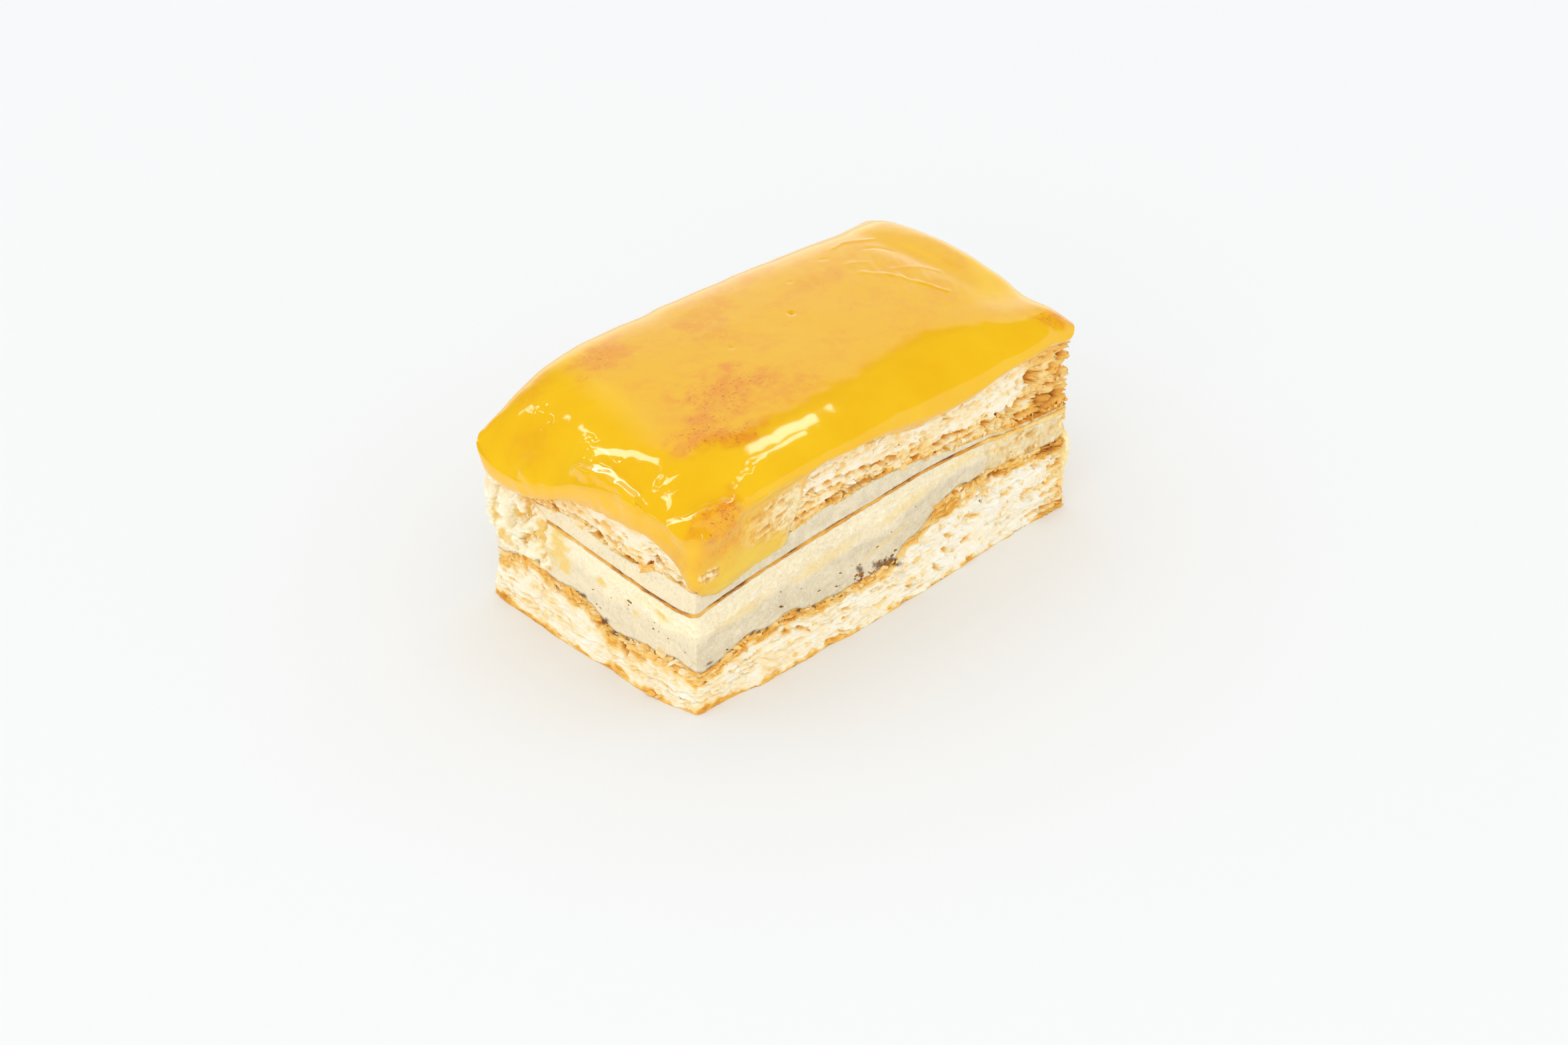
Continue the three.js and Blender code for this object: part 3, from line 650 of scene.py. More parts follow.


# ---- Crumbs ------------------------------------------------------------------------------------

# Crumbs of pastry that cling to the cut faces: layer, side, from, to, lowest and highest
# share of the layer's height, how many, size, how toasted and how scorched. Where no toast
# is given, a crumb takes the toast of the pastry that it clings to, painted shade and all.
CRUMBS = [
    ("top_puff", FRONT, -28, 54, 0, 0.1, 90, 0.45, None, 0),
    ("top_puff", FRONT, -28, 54, 0.1, 0.95, 120, 0.5, None, 0),
    ("top_puff", LEFT, -30, 28, 0, 0.14, 70, 0.5, None, 0),
    ("top_puff", LEFT, -30, 28, 0.1, 0.9, 60, 0.5, None, 0),
    ("top_puff", RIGHT, -30, 30, 0, 1, 60, 0.6, None, 0),
    ("top_puff", BACK, -54, 54, 0, 1, 60, 0.5, None, 0),
    ("bottom_puff", FRONT, -52, 54, 0.8, 1, 130, 0.5, None, 0),
    ("bottom_puff", FRONT, -52, 54, 0.05, 0.8, 130, 0.5, None, 0),
    ("bottom_puff", LEFT, -30, 30, 0.75, 1, 80, 0.5, None, 0),
    ("bottom_puff", LEFT, -30, 30, 0.05, 0.8, 60, 0.5, None, 0),
    ("bottom_puff", RIGHT, -30, 30, 0, 1, 50, 0.6, None, 0),
    ("bottom_puff", BACK, -54, 54, 0, 1, 60, 0.5, None, 0),
    ("custard_bed", FRONT, 26, 54, 0, 1, 16, 0.5, 0.35, 0),
    ("custard_bed", FRONT, -50, 10, 0.05, 0.5, 16, 0.15, 0.7, 0.8),
    ("custard_bed", FRONT, -14, 2, 0, 0.14, 26, 0.3, 0.8, 0.6),
    ("custard_bed", LEFT, -28, 6, 0.05, 0.7, 12, 0.15, 0.6, 0.7),
    ("top_puff", FRONT, -31, -23, 0.1, 0.7, 24, 0.5, None, 0),
    ("bottom_puff", FRONT, -50, 0, 0.9, 1, 26, 0.26, None, 0.7),
    ("bottom_puff", LEFT, -24, 8, 0.94, 1, 24, 0.24, None, 0.7),
]


def crumbs(layers):
    """Small torn lumps, half sunk in the faces that they cling to."""
    chance = np.random.default_rng(11)
    outward = outline(TURN, SHARE, 1, CUT_CORNER) - EDGE
    outward = np.column_stack([outward / np.linalg.norm(outward, axis=1)[:, None], np.zeros(COLUMNS)])
    places, ways, sizes, toast, dark = [], [], [], [], []
    for layer, side, start, end, low, high, count, size, toasted, scorched in CRUMBS:
        placed = layers[layer].placed
        columns = np.flatnonzero((TURN == side) & (ALONG > start) & (ALONG < end))
        column = chance.choice(columns, count)
        row = np.rint(chance.uniform(low, high, count) * layers[layer].rows).astype(int)
        places.append(placed[row, column])
        ways.append(outward[column])
        sizes.append(size * chance.lognormal(0, 0.35, count))
        if toasted is None:
            toasted = 0.85 * layers[layer].painted["toast"][row, column].clip(0.3, 0.75)
        toast.append(toasted + 0.06 * chance.normal(size=count))
        dark.append(np.full(count, scorched))
    given = (places, ways, sizes, toast, dark)
    places, ways, sizes, toast, dark = (np.concatenate(rows) for rows in given)
    piece = new_piece("clinging_crumbs", bpy.ops.mesh.primitive_ico_sphere_add, subdivisions=2, radius=1)
    ball = corners(piece)
    copies = piece.modifiers.new("Copies", "ARRAY")
    copies.count = len(places)
    copies.relative_offset_displace = (0, 0, 0)
    bpy.ops.object.modifier_apply(modifier="Copies")
    seeds = np.repeat(np.arange(len(places)), len(ball))[:, None] * 5.3
    every = np.tile(ball, (len(places), 1))
    torn = 1 + 0.55 * noise(every + seeds, 0.9, 151) + 0.3 * noise(every + seeds, 0.45, 152)
    lumps = (every * torn[:, None]).reshape(len(places), -1, 3)
    across = np.cross((0, 0, 1), ways)
    spans = ((0.9, 1.9), (0.4, 0.8), (0.5, 0.9))
    long, tall, thick = (chance.uniform(*span, len(places)) for span in spans)
    tilt = chance.normal(0, 0.4, len(places))
    level = lumps[..., 0] * long[:, None]
    rise = lumps[..., 1] * tall[:, None] + level * tilt[:, None]
    points = (places[:, None] + sizes[:, None, None] * (
        level[..., None] * across[:, None] + (lumps[..., 2] * thick[:, None])[..., None] * ways[:, None]
        + rise[..., None] * np.array([0, 0, 1])))
    points[..., 2] = points[..., 2].clip(0.02)
    place_corners(piece, points.reshape(-1, 3))
    paint(piece, "toast", np.repeat(toast, len(ball)))
    paint(piece, "scorch", np.repeat(dark, len(ball)))
    return piece


# ---- Smears of custard --------------------------------------------------------------------------

SMEAR_SEGMENTS, SMEAR_RINGS = 260, 130
SUNK = 0.9              # how far a smear's back lies in the cut face that it clings to


def smear(name, node, tongues, stains, lumps, seed):
    """A rugged lump of custard on a short face, in the place of its solid. `tongues` are
    places where its outline reaches out: direction in degrees, width in degrees, reach.
    `stains` are golden places: y, height and half sizes."""
    low, high = (np.array(corner) / MM - (*CENTRE, 0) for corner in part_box(node))
    middle, half = (low + high) / 2, (high - low) / 2
    outward = np.sign(middle[0])
    piece = new_piece(name, bpy.ops.mesh.primitive_uv_sphere_add,
                      segments=SMEAR_SEGMENTS, ring_count=SMEAR_RINGS, radius=1)
    start = corners(piece)
    out = start[:, 0] * outward
    angle = np.arctan2(start[:, 2], start[:, 1])
    wide = np.hypot(start[:, 1], start[:, 2])
    rim = np.column_stack([np.cos(angle), np.sin(angle), np.zeros(len(angle))])
    reach = 1 + 0.16 * noise(rim, 0.45, seed) + 0.09 * noise(rim, 0.16, seed + 1)
    for direction, width, stretch in tongues:
        off = (np.degrees(angle) - direction + 180) % 360 - 180
        reach += stretch * np.exp(-(off / width) ** 2)
    points = np.column_stack([
        np.full(len(start), outward * (HALF[0] - SUNK)),
        middle[1] + start[:, 1] * half[1] * reach,
        middle[2] + start[:, 2] * half[2] * reach])
    proud = 2 * half[0] - 0.3
    rise = np.clip(1 - wide ** 2.6, 0, 1) ** 0.55
    bumps = noise(points, (4, 4, 3.2), seed + 2) + 0.8 * noise(points, 1.9, seed + 3)
    bumps += 0.5 * noise(points, 0.9, seed + 4) + 0.25 * noise(points, 0.5, seed + 6)
    thick = SUNK + proud * rise * np.clip(0.6 + lumps * bumps, -0.1, 1.12)
    points[:, 0] += outward * np.where(out > 0, thick * smooth_step(out, 0, 0.12), 0)
    points[:, 0] = np.where(out > 0, points[:, 0], points[:, 0] - outward * 0.6 * -out)
    place_corners(piece, points)
    shade_smooth(piece)
    ragged = 0.5 * noise(points, 2, seed + 7) + 0.3 * noise(points, 0.8, seed + 8)
    stain = np.zeros(len(points))
    for y, height, half_y, half_z in stains:
        far = np.hypot((points[:, 1] - y) / half_y, (points[:, 2] - height) / half_z)
        stain = np.maximum(stain, smooth_step(1.2 - far - ragged, 0, 0.8))
    paint(piece, "stain", stain)
    # Painted shade and caught crumbs: the hollows between the lumps are painted golden, most on the inner
    # side.
    hollow_shade = smooth_step(0.3 - bumps, 0.0, 0.7)
    inner = smooth_step(outward * (points[:, 1] - middle[1]), -2, 5)
    paint(piece, "hollow_shade", hollow_shade * (0.35 + 0.65 * inner))
    paint(piece, "rich", 0.15 + 0.25 * noise(points, 5, seed + 5) + 0.15 * inner)
    return piece


def corner_smear():
    tongues = [(-141, 11, 0.45), (150, 26, 0.12), (44, 20, 0.4)]
    stains = [(13.5, 21.5, 2.0, 4.0), (18, 29, 5, 2), (24, 17, 2, 2.5), (25, 30.5, 4, 3), (26.5, 22, 1.6, 5),
              (14, 27.5, 2.4, 1.6), (20, 23.5, 2.4, 1.4), (12, 19, 1.5, 2.5)]
    return smear("corner_cream", "corner_smear", tongues, stains, 0.7, 121)


def end_smear():
    tongues = [(-80, 25, 0.1), (95, 25, 0.16)]
    return smear("end_cream", "end_smear", tongues, [], 0.3, 141)


# ---- Icing ---------------------------------------------------------------------------------------

ICING_ACROSS, ICING_DEEP = 300, 170     # faces of the icing's top along and across it
ICING_ROWS = 34                         # rows of faces from its lip down to its hem
EDGE_CROWDING = 1.5                     # how much its rows crowd towards the lip
FILM = 1.1                              # thickness of icing that has run down the corner
LIP_ROLL = 3.6                          # height over which the film swells into the lip
TOP = cad_box[1][2] / MM                # highest part of the icing
TUCK = 0.08                             # share of the icing's drop that turns in under its hem
HIDDEN_RING, HIDDEN_DEPTH = 8.0, 4.2    # how far in its underside lies, and how far below its top

# How quickly the icing climbs from its lip to its flat top: reach in mm and sharpness.
CLIMB = {FRONT: (6.8, 0.8), RIGHT: (1.1, 0.8), BACK: (2.6, 0.8), LEFT: (9, 1.15)}
# Where the left end's slope breaks into its lip band: place along the side and height.
LEFT_BREAK = [(-30.4, 41.2), (-25.9, 41.4), (-19.5, 42.4), (-13, 42.8), (-6.7, 42.2), (-0.4, 40.2),
              (4.7, 37.6), (10, 35.4), (16, 34.2), (22, 34.0), (30.4, 36.0)]
# Rolls and valleys on the icing: height, half width, and the points that each runs through.
ROLLS = [
    (1.3, 1.5, [(-57, -27.6), (-54.5, -28), (-52, -29), (-49.5, -30.4), (-46.5, -31.6), (-43, -32.2)]),
    (-0.6, 1.3, [(-58.5, -24.6), (-54.5, -25.2), (-50.5, -26.6), (-47, -28.4), (-43.5, -29.4)]),
    (1.0, 0.95, [(-55, 4), (-55, 2), (-55.3, -1.6), (-55.6, -6.2), (-56.5, -12.1), (-57, -17), (-57.1, -20)]),
    (-0.3, 0.9, [(-53.2, 0), (-53.6, -6), (-54.4, -12.1), (-55, -18)]),
    (0.4, 0.8, [(-57.6, 6), (-57.8, 11), (-57.8, 18)]),
    (0.2, 0.45, [(29, 9.5), (31, 6.5), (33.6, 3), (35.2, -2.9), (36.6, -6), (38.4, -10.4)]),
    (0.14, 0.4, [(34.5, 5), (38, 3.4), (41.5, 1), (43.5, -3)]),
    (0.12, 0.4, [(29, 13), (32, 12.4), (34.6, 10)]),
    (0.2, 0.5, [(33.3, 20.9), (37, 20.8), (41, 19.4), (44.5, 17)]), (-0.12, 0.5, [(27, 18.8), (30.5, 17.6)]),
    (-0.14, 0.6, [(37.5, 16), (41, 13.5), (43, 9.5)]),
]
# Places where the icing's top has sunk, or risen where the depth is below zero: x, y,
# half sizes, depth.
SINKS = [(57, -18, 16, 13, 3.2), (46, 33, 18, 8, 1.9), (-34, -6, 14, 12, 0.5), (44, 6, 3, 13, 0.6),
         (53, 8, 7, 13, -0.5), (-51, 29, 12, 10, 3.0), (50.5, -26, 5, 5, -0.9)]
# Places where the icing is pricked all over and sparkles: x, y, half width.
SPARKLING = [(-47.5, 20.5, 2.2), (-51.5, 15.0, 2.6), (-50.5, 3.5, 2.4), (-52.0, -7.5, 2.0),
             (-51.5, -18.5, 3.0), (-48, -24, 1.6)]
# Small pits in the icing: x, y, half width, depth.
PITS = [(6.3, 5.3, 0.6, 0.6), (-12.6, 3.4, 0.45, 0.35), (-22, -9, 0.4, 0.2), (16, 15.5, 0.4, 0.3)]


def icing_edges():
    """How far the icing's lip stands proud, its height, and the height of its hem, in each
    column of the slab's outline, read off the solid."""
    tree = solid("icing")
    heights = np.arange(24.5, 47, 0.25)
    proud, lip, hem = np.zeros((3, COLUMNS))
    for i, (start, way) in enumerate(zip(*probes(LIP_CORNER))):
        reach = np.array([stand_off(tree, start, way, height, missed=-9) for height in heights])
        found = np.flatnonzero(reach > 0.1)
        hem[i] = heights[found[0]]
        below = heights < hem[i] + 26
        lip_row = np.argmax(np.where(below & (heights < 45.2), reach, -9))
        proud[i], lip[i] = reach[lip_row], heights[lip_row]
    wave = np.column_stack([EDGE, np.zeros(COLUMNS)])
    wander = noise(wave, 9, 98) + 0.5 * noise(wave, 4, 99)
    broken = np.interp(ALONG, *zip(*LEFT_BREAK))
    lip_line = even_out(np.where(TURN == LEFT, broken, lip), 1.6)
    lip_line += np.where(TURN == LEFT, 0.5, 0.3) * wander
    ragged = noise(wave, 2.4, 86) + 0.6 * noise(wave, 1, 85)
    torn = 0.3 + 1.6 * np.exp(-((ALONG + 28.2) / 2.2) ** 2)
    hem += torn * ragged * (TURN == FRONT)
    return even_out(proud, 2) + 0.3 * noise(wave, 7, 97), lip_line, even_out(hem, 0.35)


def read_ring(values, turn, share):
    """Reads a ring of column values at any side and share."""
    place = np.searchsorted(TURN, np.arange(4))
    count = np.where(np.arange(4) % 2, SHORT_COLUMNS, LONG_COLUMNS)
    index = place[turn] + share * count[turn]
    return np.interp(index, np.arange(COLUMNS + 1), np.append(values, values[0]))


def on_border(u, v):
    """Side and share of the border point straight out from grid place (u, v)."""
    far = np.maximum(np.maximum(np.abs(u), np.abs(v)), 1e-6)
    a, b = u / far, v / far
    turn = np.select([b <= -1 + 1e-9, a >= 1 - 1e-9, b >= 1 - 1e-9], [FRONT, RIGHT, BACK], LEFT)
    run = np.select([turn == FRONT, turn == RIGHT, turn == BACK], [a, b, -a], -b)
    return turn, (run + 1) / 2


def icing_blank():
    """A grid with its border drawn down into a skirt and closed below."""
    piece = new_piece("egg_icing", bpy.ops.mesh.primitive_grid_add,
                      x_subdivisions=ICING_ACROSS, y_subdivisions=ICING_DEEP, size=2)
    edit(piece)
    choose(piece, "EDGE", lambda edge: edge.is_boundary)
    bpy.ops.mesh.extrude_region_move(TRANSFORM_OT_translate={"value": (0, 0, -1)})
    bpy.ops.mesh.edge_face_add()
    bpy.ops.mesh.select_mode(type="FACE")
    bpy.ops.mesh.inset(thickness=0.3)
    bpy.ops.mesh.poke()
    choose(piece, "EDGE", is_upright)
    bpy.ops.mesh.subdivide(number_cuts=ICING_ROWS - 1)
    bpy.ops.mesh.select_all(action="SELECT")
    bpy.ops.mesh.normals_make_consistent(inside=False)
    bpy.ops.object.mode_set(mode="OBJECT")
    return piece


def icing_height(points, proud, lip):
    """Height of the icing's top: it climbs from its lip, the nearest side's counting most,
    to its full height less the sunken places."""
    x, y = points[:, 0], points[:, 1]
    full = np.full(len(points), TOP)
    for sink_x, sink_y, half_x, half_y, depth in SINKS:
        full -= depth * mound(points, (sink_x, sink_y), (half_x, half_y))
    rise, total, weighed = np.ones(len(points)), 0, 0
    for turn, (reach, power) in CLIMB.items():
        along, across = (y, x) if turn % 2 else (x, y)
        on_side = TURN == turn
        order = np.argsort(ALONG[on_side])
        place = ALONG[on_side][order]
        stand = HALF[0] if turn % 2 else HALF[1]
        sign = 1 if turn in (RIGHT, BACK) else -1
        away = stand + np.interp(along, place, proud[on_side][order]) - sign * across
        away = away.clip(0)
        rise = rise * (1 - np.exp(-(away / reach) ** power))
        weight = (away + 0.05) ** -2
        weighed = weighed + weight * np.interp(along, place, lip[on_side][order])
        total = total + weight
    low = weighed / total
    return low + (full - low) * rise


def rolls(points):
    """Height of the rolls and valleys at each point. Each fades out towards its ends."""
    height = np.zeros(len(points))
    wander = np.column_stack([noise(points, 3.5, 163), noise(points, 3.5, 164)])
    places = points[:, :2] + 0.7 * wander
    for rise, half_width, path in ROLLS:
        near = np.full(len(points), 99.0)
        for start, end in itertools.pairwise(np.array(path, float)):
            way = end - start
            share = (((places - start) @ way) / (way @ way)).clip(0, 1)
            near = np.minimum(near, np.linalg.norm(places - start - share[:, None] * way, axis=1))
        from_end = np.minimum(*(np.linalg.norm(places - path[end], axis=1) for end in (0, -1)))
        height += rise * np.exp(-(near / half_width) ** 2) * smooth_step(from_end, 0, 3.5 * half_width)
    return height


def icing_relief(points, film_mask, flaky, leafy):
    """How far the icing swells or sinks at each point: waves, rolls, the leaves that show
    through the film, creases, pits and the wet pricked places."""
    x, y = points[:, 0], points[:, 1]
    calm = smooth_step(x, -46, -40) * np.exp(-((y + 26.5) / 5) ** 2)
    calm *= 1 - 0.3 * smooth_step(x, -8, 4)
    relief = 0.09 * noise(points, (14, 10, 8), 91) * (1 - 0.7 * calm)
    ripples = 0.016 * noise(points, (5, 4, 4), 92) + 0.012 * noise(points, (3.2, 2.4, 2.4), 80)
    relief += ripples * (1 - calm)
    relief += 0.006 * noise(points, 1.6, 90) + rolls(points) * (1 - film_mask)
    relief += (0.12 * film_mask + 0.5 * flaky) * (0.4 - leafy)
    creases = points @ np.array([[0.83, 0.55, 0], [-0.55, 0.83, 0], [0, 0, 1]])
    relief += 0.18 * mound(points, (35, -1), (7, 14)) * noise(creases, (1.6, 6, 6), 95)
    for pit_x, pit_y, half_width, depth in PITS:
        relief -= depth * spot(points, pit_x, pit_y, half_width)
    near_left = smooth_step(-x, 36, 46) * (1 - film_mask)
    relief += 0.02 * near_left * noise(points, (1.5, 2.4, 1.5), 96)
    for near_x, near_y, half_width in SPARKLING:
        pricked = noise(points, 1.2, 88) + 0.5 * noise(points, 0.7, 82)
        relief += 0.15 * spot(points, near_x, near_y, half_width) * pricked
    return relief + 0.07 * mound(points, (-41, -28), (9, 1.8)) * noise(points, 1.2, 84)


def egg_icing():
    piece = icing_blank()
    start = corners(piece)
    u, v, down = start[:, 0], start[:, 1], -start[:, 2]
    u, v = (np.sign(t) * (1 - (1 - np.abs(t).clip(0, 1)) ** EDGE_CROWDING) for t in (u, v))
    turn, share = on_border(u, v)
    proud, lip, hem = icing_edges()
    out, hem_here = (read_ring(ring, turn, share) for ring in (proud, hem))

    # The top.
    spread = HALF + proud.mean()
    border = outline(turn, share, out, LIP_CORNER)
    far = np.maximum(np.abs(u), np.abs(v))
    on_far = np.column_stack([u, v]) / np.maximum(far, 1e-6)[:, None]
    flat = np.column_stack([u, v]) * spread + (border - on_far * spread) * (far ** 6)[:, None]
    top = icing_height(flat, proud, lip)
    points = np.column_stack([flat, top])

    # The skirt, from the lip down to the hem.
    skirt = (down > 1e-4) & (far > 0.999)
    lip_height = icing_height(border, proud, lip)
    q = down * (1 + TUCK)
    height = lip_height + (hem_here - lip_height) * np.minimum(q, 1)
    drop = lip_height - hem_here
    run = smooth_step(drop, 5.5, 9)
    heavy = read_ring(even_out(np.array([0.0, 0.3, 0.6, 1.0])[TURN], 3), turn, share)
    way_down = ((lip_height - height) / np.maximum(drop, 1)).clip(0, 1)
    rolled = smooth_step(height, lip_height - LIP_ROLL, lip_height + 1e-6)
    rounded = 0.2 + 0.8 * (1 - way_down ** 2.6) ** 0.6
    feathered = 1 - smooth_step(way_down, 0, 1.25)
    swell = rolled * run + (rounded * heavy + feathered * (1 - heavy)) * (1 - run)
    thinned = 1 - (0.75 - 0.4 * heavy) * smooth_step(hem_here - height, -2.5, 0)
    to_flaky = smooth_step(border[:, 0], -48, -31) * (turn == FRONT)
    film = FILM * thinned * (1 - 0.95 * to_flaky)
    torn_end = np.exp(-((border[:, 0] + 28.5) / 4.5) ** 2) * (turn == FRONT)
    torn_end = torn_end * smooth_step(way_down, 0.1, 0.4)
    swell = swell * (1 - torn_end)
    under = np.clip((q - 1) / TUCK, 0, 1)
    skirt_out = HALF_GAP * 2 + film + (out - HALF_GAP * 2 - film) * swell
    skirt_out = skirt_out - (skirt_out + 0.8) * under
    corner = CUT_CORNER + 1 + (LIP_CORNER - CUT_CORNER - 1) * swell
    side_points = outline(turn, share, skirt_out, corner)
    points[skirt, :2] = side_points[skirt]
    points[skirt, 2] = (height + 0.4 * under)[skirt]

    # The hidden underside.
    hidden = (down > 0.5) & (far <= 0.999)
    inner = outline(turn, share, -HIDDEN_RING, CUT_CORNER)
    points[hidden, :2] = inner[hidden]
    points[hidden, 2] = icing_height(inner, proud, lip)[hidden] - HIDDEN_DEPTH
    middle = hidden & (far < 0.01)
    points[middle] = (0, 0, TOP - HIDDEN_DEPTH)
    place_corners(piece, points)

    # The film down the corner, and the relief.
    normals = np.empty(len(points) * 3)
    piece.data.vertex_normals.foreach_get("vector", normals)
    normals = normals.reshape(-1, 3)
    above_hem = points[:, 2] - hem_here
    film_mask = run * smooth_step(lip_height - LIP_ROLL * 0.6 - points[:, 2], 0, 2.5) * skirt
    patch = mound(points, (-52, 31.6), (2.6, 1.5), axis=2)
    patch = smooth_step(1.6 * patch + 0.35 * noise(points, 1.4, 79), 0.45, 0.9)
    upper = smooth_step(points[:, 2] + 2 * noise(points, 3, 77), 30, 34)
    flaky = np.maximum(film_mask * np.maximum(to_flaky * upper, patch), torn_end * skirt)
    leafy = leaf_steps(points + 0.3 * noise(points, 2.0, 89)[:, None], 1.3, 3.5, 93)
    leafy += 0.2 * noise(points, 0.9, 94)
    end = smooth_step(points[:, 0] + 2 * noise(points, 2.5, 87), -38, -29)
    relief = icing_relief(points, film_mask, flaky, leafy)
    relief[hidden] = 0
    points += normals * relief[:, None]
    place_corners(piece, points)
    shade_smooth(piece)

    paint(piece, "film", film_mask)
    paint(piece, "toast", icing_toast(points))
    paint(piece, "flaky", flaky)
    soaked = film_mask * smooth_step(points[:, 0], -57, -50) * (
        1 - smooth_step(points[:, 2] + 2 * noise(points, (5, 5, 3), 82), 31, 36))
    soaked = soaked * (0.85 + 0.5 * noise(points, (4, 4, 2), 83)) * (1 - flaky.clip(0, 1)) * (1 - 0.5 * end)
    paint(piece, "soaked", soaked)
    paint(piece, "leafy", leafy + 0.3 * noise(points, 2.5, 87) + 0.1 - 0.3 * end)
    paint(piece, "band", smooth_step(way_down, 0.02, 0.3) * skirt * (1 - film_mask))
    paint(piece, "hem", smooth_step(-above_hem, -3.2, 0) * skirt * (1 - 0.6 * heavy) * (1 - film_mask))
    # The flat top, by its tilt, for its baked skin and for painted shade that offsets the bright reflection
    # it mirrors.
    paint(piece, "crown_skin_and_shade", smooth_step(normals[:, 2], 0.972, 0.992))
    return piece


# Toasted places on the icing: x, y, half sizes, strength.
TOASTED = [
    (-33, 19, 8, 7, 0.75), (-24, -8, 11, 8, 1.0), (-38, -15, 9, 6, 1.0), (-32, -21, 7, 3.5, 1.0),
    (-10, 13, 7, 8, 0.55), (-45, 26, 5, 5, 0.35), (51, -28, 6, 3, 0.9), (20, 12, 10, 5, 0.4),
    (-49, -31.5, 7, 3.5, 1.0), (-2, 20, 7, 6, 0.4), (-54, 18, 3, 7, 0.3), (10, 24, 12, 4, 0.4),
    (-16, -16, 9, 4, 0.5),
]


def icing_toast(points):
    """How toasted the icing is, in patches with ragged edges."""
    ragged = 0.45 * noise(points, 5, 101) + 0.3 * noise(points, 2, 102)
    toast = np.zeros(len(points))
    for x, y, half_x, half_y, strength in TOASTED:
        far = np.hypot((points[:, 0] - x) / half_x, (points[:, 1] - y) / half_y)
        toast = np.maximum(toast, strength * smooth_step(1.25 - far - ragged, 0, 0.9))
    return toast


# ---- Finishes ------------------------------------------------------------------------------------

def colour(red, green, blue):
    """A colour given as 0 to 255 display values, as the linear values that nodes take."""
    share = np.array([red, green, blue]) / 255
    linear = np.where(share > 0.04045, ((share + 0.055) / 1.055) ** 2.4, share / 12.92)
    return (*linear.tolist(), 1)


class Nodes:
    """Adds nodes to a node tree. An input is given a value, or an output to link from."""

    def __init__(self, tree):
        self.tree = tree

    def add(self, kind, inputs=None, **settings):
        node = self.tree.nodes.new(kind)
        for name, value in settings.items():
            setattr(node, name, value)
        for key, value in (inputs or {}).items():
            if isinstance(value, bpy.types.NodeSocket):
                self.tree.links.new(value, node.inputs[key])
            else:
                node.inputs[key].default_value = value
        return node

    def mask(self, name):
        return self.add("ShaderNodeAttribute", attribute_name=name).outputs["Fac"]

    def place(self):
        return self.add("ShaderNodeTexCoord").outputs["Object"]

    def maths(self, operation, first, second=0.0, clamp=False):
        inputs = {0: first, 1: second}
        return self.add("ShaderNodeMath", inputs, operation=operation, use_clamp=clamp).outputs[0]

    def mottle(self, place, size, detail=2.0, roughness=0.5):
        """Noise from 0 to 1 whose features are `size` mm across."""
        inputs = {"Vector": place, "Scale": per_mm(size), "Detail": detail, "Roughness": roughness}
        return self.add("ShaderNodeTexNoise", inputs).outputs["Fac"]

    def ramp(self, value, stops):
        node = self.add("ShaderNodeValToRGB", {"Fac": value})
        bands = node.color_ramp.elements
        bands[0].position, bands[0].color = stops[0]
        bands[1].position, bands[1].color = stops[-1]
        for place, shade in stops[1:-1]:
            bands.new(place).color = shade
        return node.outputs["Color"]

    def blend(self, amount, first, second):
        inputs = {"Factor": amount, 6: first, 7: second}
        return self.add("ShaderNodeMix", inputs, data_type="RGBA").outputs[2]

    def lay(self, base, name, amount, tone):
        """Lays a tone over a base, as strong as a mask and `amount`."""
        return self.blend(self.maths("MULTIPLY", self.mask(name), amount), base, tone)

    def crumbly(self, crumb, place, coarse, fine, name, amount):
        """A mask mottled by crumb of two sizes in mm, and the crumb's height."""
        sizes = {"Coarse": per_mm(coarse), "Fine": per_mm(fine)}
        grain = self.add("ShaderNodeGroup", {"Place": place, **sizes}, node_tree=crumb).outputs
        shift = self.maths("MULTIPLY", self.maths("SUBTRACT", grain["Mottle"], 0.5), amount)
        return self.maths("ADD", self.mask(name), shift, clamp=True), grain["Height"]

    def coat(self, shader, tone, height, strength, distance):
        """Gives a shader its colour, and a bump up to `distance` mm high."""
        bump = {"Height": height, "Strength": strength, "Distance": distance * MM}
        self.tree.links.new(tone, shader.inputs["Base Color"])
        self.tree.links.new(self.add("ShaderNodeBump", bump).outputs["Normal"], shader.inputs["Normal"])


def grey(value):
    return (value, value, value, 1)


def per_mm(size):
    """The scale of a pattern whose features are `size` mm across."""
    return 1 / (size * MM)


def finish(name, constants):
    """A new material, its nodes and its shader, with what is the same all over it set."""
    material = bpy.data.materials.new(name)
    material.use_nodes = True
    shader = material.node_tree.nodes["Principled BSDF"]
    for key, value in constants.items():
        shader.inputs[key].default_value = value
    return material, Nodes(material.node_tree), shader


def effect(name, inputs, outputs):
    """An empty node group with named inputs and outputs."""
    tree = bpy.data.node_groups.new(name, "ShaderNodeTree")
    for label, kind in inputs:
        tree.interface.new_socket(label, in_out="INPUT", socket_type=kind)
    for label, kind in outputs:
        tree.interface.new_socket(label, in_out="OUTPUT", socket_type=kind)
    nodes = Nodes(tree)
    return tree, nodes, nodes.add("NodeGroupInput").outputs, nodes.add("NodeGroupOutput").inputs


